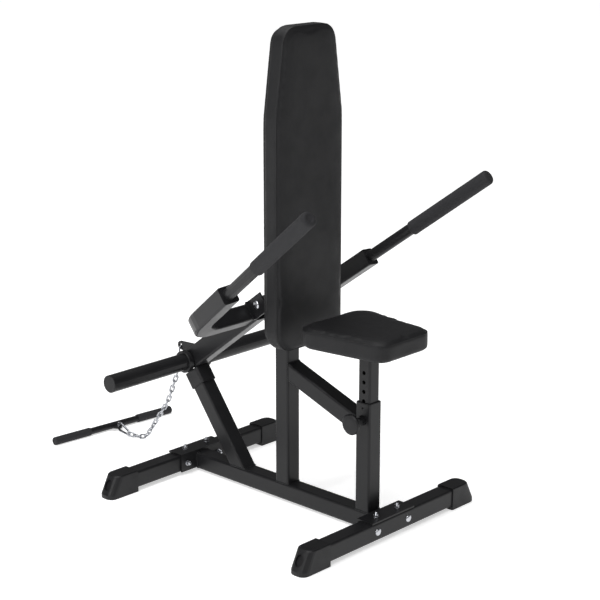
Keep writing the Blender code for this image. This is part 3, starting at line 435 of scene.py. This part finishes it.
def lights():
    """A dim even sky, a broad sun, and strips that draw highlights along the tubes."""
    world = bpy.data.worlds.new("studio")
    world.use_nodes = True
    world.node_tree.nodes["Background"].inputs["Color"].default_value = (1, 1, 1, 1)
    world.node_tree.nodes["Background"].inputs["Strength"].default_value = WORLD_LIGHT
    bpy.context.scene.world = world
    for name, place, size, power in AREA_LIGHTS:
        area_light(name, place, size, power)
    sun = bpy.data.lights.new("sky", "SUN")
    sun.energy = SUN_LIGHT
    sun.angle = SUN_SPREAD
    made = bpy.data.objects.new("sky", sun)
    bpy.context.scene.collection.objects.link(made)
    made.rotation_euler = SUN_TURN
    bpy.context.scene.view_settings.view_transform = "Standard"


# ---- chain links ---------------------------------------------------------------------
def stadium(centre, axis, side, reach, half):
    """Closed centre line of a link: reach is its full centre-line length, half its half width."""
    straight = reach / 2 - half
    path = []
    for end in (1, -1):
        for k in range(LINK_ARC_STEPS + 1):
            angle = math.pi * k / LINK_ARC_STEPS + (0 if end > 0 else math.pi)
            ahead = end * straight + half * math.sin(angle)
            path.append(centre + axis * ahead + side * half * math.cos(angle))
    return path


def links(name, line, body, replaced, hinge, bend_first):
    """Links along a line, each a quarter turn from the last.

    The link at the bend between the two lengths stands square to the hinge there, so that it swings
    freely in its neighbour; away from the bend the chain twists to a steady angle.
    """
    run = measure(line)
    count = round(run[-1] / LINK_PITCH)
    pitch = run[-1] / count
    work = bmesh.new()
    reach = pitch + 2 * LINK_WIRE
    for k in range(count):
        from_bend = k if bend_first else count - 1 - k
        crossed = from_bend % 2 if bend_first else 1 - from_bend % 2
        twist = LINK_TWIST + LINK_WANDER * math.sin(k * WANDER_STEP)
        twist = min(1.0, from_bend / TWIST_LINKS) * twist
        centre = along(line, run, pitch * (k + 0.5))
        chord = along(line, run, pitch * (k + 0.95)) - along(line, run, pitch * (k + 0.05))
        axis = chord.normalized()
        if from_bend == 0 and bend_first:
            axis = (along(line, run, pitch) - hinge).normalized()
            centre = hinge + axis * (reach / 2 - LINK_HALF_WIDTH)
        elif from_bend == 0:
            axis = (hinge - along(line, run, run[-1] - pitch)).normalized()
            centre = hinge - axis * (reach / 2)
        level = axis.cross(X_AXIS).normalized()
        side = Matrix.Rotation(math.radians(twist + 90 * crossed), 3, axis) @ level
        path = stadium(centre, axis, side, reach, LINK_HALF_WIDTH)
        wire = sweep_rings(path, axis.cross(side), LINK_WIRE, 10, closed=True)
        add_loft(work, wire, closed=True)
    return piece(name, to_mesh(work, name, 60), body, CHAIN_LOOK, replaced)


def top_link(centre):
    """The wider link that hangs in the lever's lug."""
    work = bmesh.new()
    path = stadium(centre, Z_AXIS, X_AXIS, TOP_LINK_REACH, TOP_LINK_HALF)
    wire = sweep_rings(path, Y_AXIS, TOP_LINK_WIRE, 12, closed=True)
    add_loft(work, wire, closed=True)
    piece("top_link", to_mesh(work, "top_link", 60), "chain_top", CHAIN_LOOK,
          ["chain_top_link"])


def chain():
    """Two lengths of links that meet on the hinge at the bend, and the link that they hang on."""
    route = [Vector((x, y - SHIFT_Y, z)) for x, y, z in CHAIN_ROUTE]
    hinge = route[CHAIN_BEND]
    line = smooth_route(route, ROUTE_STEP)
    bend = min(range(len(line)), key=lambda k: (line[k] - hinge).length)

    top_centre = CHAIN_HINGE - Z_AXIS * (TOP_LINK_REACH / 2)
    start = top_centre - Z_AXIS * (TOP_LINK_REACH / 2 - TOP_LINK_WIRE)
    upper_line = [start] + [p for p in line[:bend + 1] if p.z < start.z - ROUTE_STEP / 2]
    into_bend = (hinge - upper_line[-2]).normalized()
    upper_line[-1] = hinge - into_bend * LINK_WIRE

    out_of_bend = (line[bend + BEND_AHEAD] - hinge).normalized()
    ahead = (line[-1] - line[-2]).normalized()
    lower_line = [hinge - out_of_bend * (LINK_HALF_WIDTH - LINK_WIRE)]
    lower_line += line[bend + 1:] + [line[-1] + ahead * CHAIN_INTO_HOOK]

    upper = links("chain_upper_links", upper_line, "chain_top", ["chain_upper"], hinge, False)
    lower = links("chain_lower_links", lower_line, "chain_end", ["chain_lower"], hinge, True)
    top_link(top_centre)


# ---- pads ----------------------------------------------------------------------------
PAD_VOXEL = 0.0045
PAD_SIDES = 720
PAD_FRAMES = 20
PAD_SHRINK = 0.0012                  # the simulated pad starts this much inside its CAD solid
PAD_CAP = 0.0030                     # furthest that pressure may move a point
LEVEL_GAP = 0.0004                   # points closer than this along the axis share a level
LEVEL_POINTS = 20                    # a level with no more points than this is no outline
OUTLINE_SHARE = 0.7                  # of the longest outline; shorter ones are the pocket's
OUTLINE_STEP = 0.004                 # between the points of the seam and of the hem
POCKET_CLEARANCE = 0.0003            # between the board and the pocket that the CAD pad has for it
COVER_INSET = 0.0003                 # the cover stays this far inside the pad's back face
COVER_CLEARANCE = 0.0005             # and this far off its board
SEAM_WIRE = 0.0012
SEAM_LIFT = 0.0003
SEAM_RING = 4                        # which CAD ring the front seam follows, counted from the back
HEM_RING = 2
HEM_WIDTH = 0.024
HEM_FOLD = 0.0115                    # the fold over the board's rim; only the flap inside it puckers
HEM_PUCKER = 0.0003
PUCKER_NOISE = 130                   # cells per metre
STAPLE_PITCH = 0.030
STAPLE_INSET = 0.0170
STAPLE_HALF = 0.005
STAPLE_WIRE = 0.0004
STAPLE_LEG, STAPLE_CROWN = 0.0003, 0.0021       # heights off the back of the board


def pad_rings(node, board, axis):
    """The CAD pad's outer outline at each of its levels along an axis, lowest first.

    The level where the board's pocket ends holds no outer point, so it is left out.
    """
    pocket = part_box(board.name)[1][axis] + POCKET_CLEARANCE
    levels = []
    for vertex in sorted(node.data.vertices, key=lambda v: v.co[axis]):
        if levels and vertex.co[axis] - levels[-1][0].co[axis] < LEVEL_GAP:
            levels[-1].append(vertex)
        else:
            levels.append([vertex])
    facing = facing_along(axis)
    full = [level for level in levels if len(level) > LEVEL_POINTS]
    outlines = [outline_of([v.co.copy() for v in level], facing) for level in full]
    outlines = [outline for outline in outlines if abs(outline[0][axis] - pocket) > LEVEL_GAP]
    widest = max(measure(outline)[-1] for outline in outlines)
    outlines = [outline for outline in outlines if measure(outline)[-1] > widest * OUTLINE_SHARE]
    middle = sum(outlines[0], Vector()) / len(outlines[0])
    return [around(outline, middle, axis) for outline in outlines]


def around(outline, middle, axis):
    """The outline sampled at even angles about the middle, so that rings match point by point."""
    u, v = [k for k in range(3) if k != axis]
    made = []
    for k in range(PAD_SIDES):
        angle = math.tau * k / PAD_SIDES
        cos, sin = math.cos(angle), math.sin(angle)
        for p, q in zip(outline, outline[1:] + outline[:1]):
            side_p = (p[v] - middle[v]) * cos - (p[u] - middle[u]) * sin
            side_q = (q[v] - middle[v]) * cos - (q[u] - middle[u]) * sin
            if (side_p <= 0) == (side_q <= 0):
                continue
            point = p.lerp(q, side_p / (side_p - side_q))
            if (point[u] - middle[u]) * cos + (point[v] - middle[v]) * sin > 0:
                made.append(point)
                break
    return made


def applied(source, name):
    """The evaluated mesh of an object, as a new mesh."""
    shown = source.evaluated_get(bpy.context.evaluated_depsgraph_get())
    made = bpy.data.meshes.new_from_object(shown)
    made.name = name
    return made


def pad_start(node, rings):
    """A closed loft through the CAD pad's outer rings, slightly smaller than the CAD pad."""
    low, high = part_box(node.name)
    middle = (Vector(low) + Vector(high)) / 2
    scale = [1 - 2 * PAD_SHRINK / (high[k] - low[k]) for k in range(3)]
    work = bmesh.new()
    shrunk = [[Vector([middle[k] + (p[k] - middle[k]) * scale[k] for k in range(3)]) for p in ring]
              for ring in rings]
    add_loft(work, shrunk)
    bmesh.ops.recalc_face_normals(work, faces=work.faces)
    mesh = bpy.data.meshes.new(node.name + "_start")
    work.to_mesh(mesh)
    work.free()
    return mesh


def inflated(mesh, name):
    """Voxel remesh, then pressure in a cloth simulation; points only swell outward, up to a cap."""
    pad = bpy.data.objects.new(name + "_sim", mesh)
    bpy.context.scene.collection.objects.link(pad)
    remesh = pad.modifiers.new("remesh", "REMESH")
    remesh.mode = "VOXEL"
    remesh.voxel_size = PAD_VOXEL
    even = applied(pad, name + "_even")
    pad.modifiers.clear()
    pad.data = even
    start = np.array([vertex.co[:] for vertex in even.vertices])
    cloth = pad.modifiers.new("cloth", "CLOTH")
    cloth.settings.use_pressure = True
    cloth.settings.uniform_pressure_force = 4.0
    cloth.settings.effector_weights.gravity = 0.0
    cloth.settings.tension_stiffness = 30
    cloth.settings.compression_stiffness = 30
    cloth.settings.bending_stiffness = 4
    cloth.point_cache.frame_start = 1
    cloth.point_cache.frame_end = PAD_FRAMES
    for frame_number in range(1, PAD_FRAMES + 1):
        bpy.context.scene.frame_set(frame_number)
    swollen = applied(pad, name + "_swollen")
    pad.modifiers.clear()
    bpy.context.scene.frame_set(1)
    moved = np.array([vertex.co[:] for vertex in swollen.vertices]) - start
    facing = np.array([vertex.normal[:] for vertex in even.vertices])
    outward = np.clip((moved * facing).sum(axis=1), 0.0, PAD_CAP)
    for vertex, place in zip(pad.data.vertices, start + facing * outward[:, None]):
        vertex.co = place
    smooth = pad.modifiers.new("subdivision", "SUBSURF")
    smooth.levels = 1
    made = applied(pad, name)
    bpy.data.objects.remove(pad)
    return made


def surface_of(mesh):
    return BVHTree.FromPolygons([v.co.copy() for v in mesh.vertices],
                                [tuple(p.vertices) for p in mesh.polygons])


def settle(mesh, node, board, axis, back):
    """Keep the cover off its board; back is +1 or -1, the way the pad's fixed side faces."""
    low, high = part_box(node.name)
    limit = (high if back > 0 else low)[axis]
    tree = surface_of(board.data)
    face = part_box(board.name)[0 if back > 0 else 1][axis]
    far, reach = 0.05, 0.2
    for vertex in mesh.vertices:
        if (vertex.co[axis] - limit) * back > -COVER_INSET:
            vertex.co[axis] = limit - back * COVER_INSET
        if (vertex.co[axis] - face) * back > -COVER_CLEARANCE:
            start = vertex.co.copy()
            start[axis] = limit + back * far
            if tree.ray_cast(start, facing_along(axis, -back), reach)[0] is not None:
                vertex.co[axis] = face - back * COVER_CLEARANCE


def welt(name, ring, mesh, body):
    """A raised seam: a thin thread laid on the pad's surface along a ring."""
    tree = surface_of(mesh)
    path = []
    for point in even_outline(ring, OUTLINE_STEP):
        place, normal = tree.find_nearest(point)[:2]
        path.append(place + normal * SEAM_LIFT)
    work = bmesh.new()
    slanted = Vector((0.3, 0.2, 1)).normalized()
    add_loft(work, sweep_rings(path, slanted, SEAM_WIRE, 6, closed=True), closed=True)
    return piece(name, to_mesh(work, name, 180), body, LOOKS["leatherette"])


def inside(outline, axis, inset):
    """The outline drawn in by a distance towards its own inner side."""
    facing = facing_along(axis)
    made = []
    count = len(outline)
    middle = sum(outline, Vector()) / count
    for k, point in enumerate(outline):
        ahead = (outline[(k + 1) % count] - outline[k - 1]).normalized()
        inward = facing.cross(ahead)
        if inward.dot(middle - point) < 0:
            inward = -inward
        made.append(point + inward * inset)
    return made


def hem(name, ring, board, body, axis, back):
    """The cover's edge, folded over the board's rim and flat behind it, with small puckers."""
    front, behind = (0, 1) if back > 0 else (1, 0)
    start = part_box(board.name)[front][axis] + back * 0.0002
    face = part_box(board.name)[behind][axis]
    profile = (                      # inset from the pad's outline, level along the axis
        (0.0112, start),
        (0.0105, face - back * 0.0010),
        (0.0118, face + back * 0.0009),
        (HEM_WIDTH, face + back * 0.0010),
        (HEM_WIDTH, face + back * 0.0001),
        (0.0124, face + back * 0.0001),
        (0.0119, start),
    )
    rim = even_outline(ring, OUTLINE_STEP)
    rings = []
    for inset, level in profile:
        loop = inside(rim, axis, inset)
        for point in loop:
            point[axis] = level
            if HEM_WIDTH > inset > HEM_FOLD and abs(level - face) > 0.0005:
                point[axis] += back * HEM_PUCKER * (1 + noise.noise(point * PUCKER_NOISE))
        rings.append(loop)
    work = bmesh.new()
    add_loft(work, rings, closed=True)
    mesh = to_mesh(work, name + "_hem", 50)
    piece(name + "_hem", mesh, body, LOOKS["leatherette"])


def staples(name, ring, board, body, axis, back):
    """Wire staples through the hem, all round the back of the board."""
    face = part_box(board.name)[1 if back > 0 else 0][axis]
    work = bmesh.new()
    line = inside(even_outline(ring, STAPLE_PITCH), axis, STAPLE_INSET)
    for p, q in zip(line, line[1:] + line[:1]):
        half = (q - p).normalized() * STAPLE_HALF
        wire = [p - half, p - half, p + half, p + half]
        for point, level in zip(wire, (STAPLE_LEG, STAPLE_CROWN, STAPLE_CROWN, STAPLE_LEG)):
            point[axis] = face + back * level
        add_loft(work, sweep_rings(wire, Vector((0.3, 0.5, 0.81)), STAPLE_WIRE, 6))
    piece(name + "_staples", to_mesh(work, name + "_staples", 40), body, LOOKS["zinc"])


def upholstery(node_name, board_name, body, axis, back):
    """A stuffed cover over its board; the axis goes through the pad, back is its fixed side's sign."""
    node = frame["nodes"][node_name]
    board = frame["nodes"][board_name]
    rings = pad_rings(node, board, axis)
    if back > 0:
        rings.reverse()
    name = node_name + "_cover"
    mesh = inflated(pad_start(node, rings), name)
    settle(mesh, node, board, axis, back)
    mesh.shade_smooth()
    pad = piece(name, mesh, body, LOOKS["leatherette"], [node_name])
    welt(node_name + "_seam", rings[SEAM_RING], mesh, body)
    hem(node_name, rings[HEM_RING], board, body, axis, back)
    staples(node_name, rings[HEM_RING], board, body, axis, back)


# ---- fasteners -----------------------------------------------------------------------
TOP_BOLT = (0.0095, 0.004, 0.013)    # head radius, shank radius, nut across its flats
SIDE_BOLT = (0.0105, 0.004, 0.013)
PIVOT_BOLT = (0.0115, 0.006, 0.019)
BOLTS = (                            # node, body, axis, side of the head, sizes
    ("bolt_front_top_left", "frame", 2, -1, TOP_BOLT),
    ("bolt_front_top_right", "frame", 2, -1, TOP_BOLT),
    ("bolt_rear_top_left", "frame", 2, -1, TOP_BOLT),
    ("bolt_rear_top_right", "frame", 2, -1, TOP_BOLT),
    ("bolt_front_side_left", "frame", 1, -1, SIDE_BOLT),
    ("bolt_front_side_right", "frame", 1, -1, SIDE_BOLT),
    ("bolt_rear_side_left", "frame", 1, 1, SIDE_BOLT),
    ("bolt_rear_side_right", "frame", 1, 1, SIDE_BOLT),
    ("pivot_bolt", "lever", 0, -1, PIVOT_BOLT),
)
HEAD_RISE = 0.0045                   # the head's height in the CAD
WASHER = 0.0015
NUT_CHAMFER = 0.0007
NUT_HEIGHT = 1.7                     # in shank radii, like the next two
NUT_MOUTH = 1.15
TAIL = 3.1                           # washer, nut and bare thread, and 1.8 mm more
TAIL_EXTRA = 0.0018
THREAD_STEP = 0.00045                # half the pitch of the thread
THREAD_CREST, THREAD_ROOT, THREAD_TIP = 0.995, 0.90, 0.72
THREAD_START = 0.0004                # the ridges begin this far inside the nut's mouth
THREAD_END = 0.0006                  # and stop this far from the tip
LIP = 0.0003                         # small steps that keep neighbouring faces apart
HAIR = 0.0001
DOME_ANGLES = (0.05, 0.25, 0.5, 0.75, 1.0, 1.25, 1.45)


def nut_ring(z, across, most):
    """One section of a hexagonal nut, no point further out than most."""
    made = []
    for k in range(ROUND_SIDES):
        angle = 2 * math.pi * k / ROUND_SIDES
        off = (angle + math.pi / 6) % (math.pi / 3) - math.pi / 6
        radius = min(across / 2 / math.cos(off), most)
        made.append(Vector((radius * math.cos(angle), radius * math.sin(angle), z)))
    return made


def round_ring(z, radius):
    return [Vector((x, y, z)) for x, y in circle(radius, ROUND_SIDES)]


def head_rings(head):
    """A low dome that rises from z = 0, with a narrow rim."""
    rings = [round_ring(HEAD_RISE * (1 - math.cos(t)), max(head * math.sin(t), 0.0002))
             for t in DOME_ANGLES]
    rings.append(round_ring(HEAD_RISE * 0.95, head))
    rings.append(round_ring(HEAD_RISE - LIP, head * 0.99))
    return rings


def washer_rings(z, across):
    """A flat washer under a nut of a given width, its edges slightly broken."""
    face, rim, broken = across * 0.62, across * 0.64, 0.0002
    return [round_ring(z + LIP, face), round_ring(z + LIP + broken, rim),
            round_ring(z + WASHER, rim), round_ring(z + WASHER + broken, face)]


def nut_rings(z, across, nut):
    """A hexagonal nut whose corners are chamfered at both faces."""
    corner = across / 2 / math.cos(math.pi / 6)
    slim = across / 2 * 1.02
    return [nut_ring(z, across, slim), nut_ring(z + NUT_CHAMFER, across, corner),
            nut_ring(z + nut - NUT_CHAMFER, across, corner), nut_ring(z + nut, across, slim)]


def thread_rings(place, length, radius):
    """Ridges from a place up to the shank's end."""
    rings = []
    while place < length - THREAD_END:
        share = THREAD_CREST if len(rings) % 2 else THREAD_ROOT
        rings.append(round_ring(place, radius * share))
        place += THREAD_STEP
    rings.append(round_ring(length, radius * THREAD_TIP))
    return rings


def bolt_mesh(name, length, head, radius, across):
    """Domed head at z = 0, shank, washer, chamfered nut and ridged thread end, along +z."""
    nut = radius * NUT_HEIGHT
    grip_end = length - TAIL_EXTRA - radius * TAIL
    base = grip_end + WASHER + LIP
    rings = head_rings(head)
    rings += [round_ring(HEAD_RISE - LIP, radius), round_ring(grip_end + LIP, radius)]
    rings += washer_rings(grip_end, across)
    rings += nut_rings(base, across, nut)
    rings.append(round_ring(base + nut + HAIR, radius * NUT_MOUTH))
    rings += thread_rings(base + nut - THREAD_START, length, radius)
    work = bmesh.new()
    add_loft(work, rings)
    return to_mesh(work, name, 30)


def bolts():
    """Put a bolt with a washer, nut and thread in the place of each plain CAD bolt."""
    for name, body, axis, side, sizes in BOLTS:
        low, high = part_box(name)
        mesh = bolt_mesh(name + "_look", high[axis] - low[axis], *sizes)
        start = (Vector(low) + Vector(high)) / 2
        start[axis] = (low if side < 0 else high)[axis]
        turn = facing_along(axis, -side).to_track_quat("Z", "Y").to_matrix().to_4x4()
        mesh.transform(Matrix.Translation(start) @ turn)
        piece(name + "_look", mesh, body, LOOKS["zinc"], [name])


# ---- welds ---------------------------------------------------------------------------
LEVER_TURN = math.radians(37.3)
LEVER_ALONG = Vector((0, math.cos(LEVER_TURN), -math.sin(LEVER_TURN)))
LEVER_UP = Vector((0, math.sin(LEVER_TURN), math.cos(LEVER_TURN)))
WELDS = (                            # node, body, the way its welded end faces
    ("upright_post", "frame", -Z_AXIS),
    ("seat_receiver", "frame", -Z_AXIS),
    ("rear_strut", "frame", -Z_AXIS),
    ("diagonal_brace", "frame", Y_AXIS),
    ("diagonal_brace", "frame", -Y_AXIS),
    ("base_beam", "frame", Y_AXIS),
    ("base_beam", "frame", -Y_AXIS),
    ("pivot_arm", "frame", -Y_AXIS),
    ("yoke_limb_left", "lever", -X_AXIS),
    ("yoke_limb_right", "lever", X_AXIS),
    ("lever_arm", "lever", -LEVER_ALONG),
    ("chain_lug", "lever", -LEVER_UP),
)
BEAD = 0.0017                        # the bead's radius
RIPPLE = 0.0026                      # the length of one ripple, drawn with four rings
RIPPLE_DEPTH = 0.16                  # shares of the radius
BEAD_WANDER = 0.22
BEAD_NOISE = 90                      # cells per metre
END_DEPTH = 0.0006                   # points this near a node's far end count as on it


def end_points(node, facing):
    """The node's vertices in the plane at its far end, seen along facing."""
    reach = [vertex.co.dot(facing) for vertex in node.data.vertices]
    most = max(reach)
    return [v.co.copy() for v, r in zip(node.data.vertices, reach) if r > most - END_DEPTH]


def outline_of(points, facing):
    """The outer outline of flat points, in order."""
    across = facing.orthogonal().normalized()
    above = facing.cross(across)
    flat = [Vector((p.dot(across), p.dot(above))) for p in points]
    return [points[k] for k in convex_hull_2d(flat)]


def bead(name, path, body):
    """A weld bead: a small round run whose thickness ripples along it."""
    count = len(path)
    width = []
    for k in range(count):
        ripple = RIPPLE_DEPTH * math.cos(math.tau * k / 4)
        wander = BEAD_WANDER * noise.noise(path[k] * BEAD_NOISE)
        width.append(BEAD * (1 + ripple + wander))
    work = bmesh.new()
    up = (path[count // 3] - path[0]).cross(path[2 * count // 3] - path[0]).normalized()
    add_loft(work, sweep_rings(path, up, width, 8, closed=True), closed=True)
    piece(name, to_mesh(work, name, 180), body, LOOKS["frame_paint"])


def even_outline(points, spacing):
    """A closed polyline sampled at even steps; their number is a multiple of four."""
    line = points + [points[0]]
    run = measure(line)
    count = max(16, 4 * round(run[-1] / spacing / 4))
    return [along(line, run, run[-1] * k / count) for k in range(count)]


def welds():
    """A bead round each tube's end where it meets the piece that it is welded to."""
    for number, (name, body, facing) in enumerate(WELDS):
        outline = outline_of(end_points(frame["nodes"][name], facing), facing)
        bead("weld_%02d_%s" % (number, name), even_outline(outline, RIPPLE / 4), body)


# ---- grips ---------------------------------------------------------------------------
SPLAY = math.radians(9.3)            # each handle leans outward by this
BAR_TURN = math.radians(-5.0)        # the row bar's heading on the floor, from +X
HANDLE_BORE = 0.0171
ROW_BAR_BORE = 0.0108
GRIP_RINGS = 40
GRIP_WAVE = 0.00018                  # unevenness of the foam's skin
GRIP_NOISE = 40                      # its cells per metre
GRIP_LIP = 0.10                      # shares of the radius
GRIP_ROUND = 0.42
DISC_RIM, DISC_EDGE, DISC_MIDDLE = 0.50, 0.46, 0.12
DISC_DEPTH = 0.0007
SKIN = 0.0001                        # the foam stays this far inside the CAD's sleeve


def grip_profile(length, radius, bore):
    """Run and radius of the sleeve's section, from deep in the bore out and round to its end."""
    lip = radius * GRIP_LIP
    round_edge = radius * GRIP_ROUND
    profile = [(length * 0.96, bore), (0.0, bore), (0.0, radius - lip),
               (lip * 0.4, radius - lip * 0.3), (lip, radius)]
    for k in range(1, GRIP_RINGS):
        profile.append((lip + (length - radius * 0.45 - lip) * k / GRIP_RINGS, radius))
    for k in range(7):
        angle = math.pi / 2 * k / 6
        profile.append((length - round_edge + round_edge * math.sin(angle),
                        radius - round_edge + round_edge * math.cos(angle)))
    pressed = length - DISC_DEPTH
    profile += [(length, radius * DISC_RIM), (pressed, radius * DISC_EDGE),
                (pressed, radius * DISC_MIDDLE)]
    return profile


def grip(node_name, body, heading, bore):
    """A foam sleeve with a rounded lip, a slightly uneven skin and a pressed disc in its end."""
    node = frame["nodes"][node_name]
    near = outline_of(end_points(node, -heading), -heading)
    far = outline_of(end_points(node, heading), heading)
    start = sum(near, Vector()) / len(near)
    end = sum(far, Vector()) / len(far)
    radius = max(((v.co - start).cross(heading)).length for v in node.data.vertices)
    across = heading.orthogonal().normalized()
    above = heading.cross(across)
    rings = []
    for place, size in grip_profile((end - start).length, radius, bore):
        ring = []
        for u, v in circle(1.0, ROUND_SIDES):
            out = across * u + above * v
            wave = 0
            if size > bore * 1.05:
                wave = GRIP_WAVE * noise.noise((start + heading * place) * GRIP_NOISE + out)
            ring.append(start + heading * place + out * (size + wave - SKIN))
        rings.append(ring)
    work = bmesh.new()
    add_loft(work, rings)
    mesh = to_mesh(work, node_name + "_sleeve", 40)
    piece(node_name + "_sleeve", mesh, body, LOOKS["grip"], [node_name])


def grips():
    """The foam on both handles of the lever and at both ends of the row bar."""
    for hand, side in (("left", 1), ("right", -1)):
        along_handle = X_AXIS * (side * math.sin(SPLAY)) - LEVER_ALONG * math.cos(SPLAY)
        grip("handle_grip_" + hand, "lever", along_handle.normalized(), HANDLE_BORE)
        along_bar = Vector((side * math.cos(BAR_TURN), side * math.sin(BAR_TURN), 0))
        grip("row_grip_" + hand, "chain_end", along_bar, ROW_BAR_BORE)


# ---- small bevels --------------------------------------------------------------------
BEVELS = (                           # nodes, and the width of their softened edges
    (("front_bracket", "rear_bracket", "pivot_clevis", "pivot_arm", "seat_plate", "chain_lug",
      "backrest_plate_lower", "backrest_plate_upper", "backrest_board", "seat_board"), 0.0007),
    (("end_cap_front_left", "end_cap_front_right", "end_cap_rear_left", "end_cap_rear_right"), 0.0014),
    (("front_crossbar", "rear_crossbar", "seat_receiver", "seat_post", "lever_arm",
      "yoke_limb_left", "yoke_limb_right", "strut_cap", "upright_plug"), 0.0005),
)


def soften_edges():
    """Give the square edges of the CAD's steel and plastic a small round that catches light."""
    for names, width in BEVELS:
        for name in names:
            step = frame["nodes"][name].modifiers.new("edge", "BEVEL")
            step.width = width
            step.segments = 2
            step.limit_method = "ANGLE"
            step.angle_limit = math.radians(50)
            step.use_clamp_overlap = True


# ---- assembly of the look ------------------------------------------------------------
camera()
floor()
lights()
dress_frame()
soften_edges()
upholstery("backrest_pad", "backrest_board", "frame", 1, 1)
upholstery("seat_pad", "seat_board", "seat", 2, -1)
bolts()
welds()
grips()
chain()
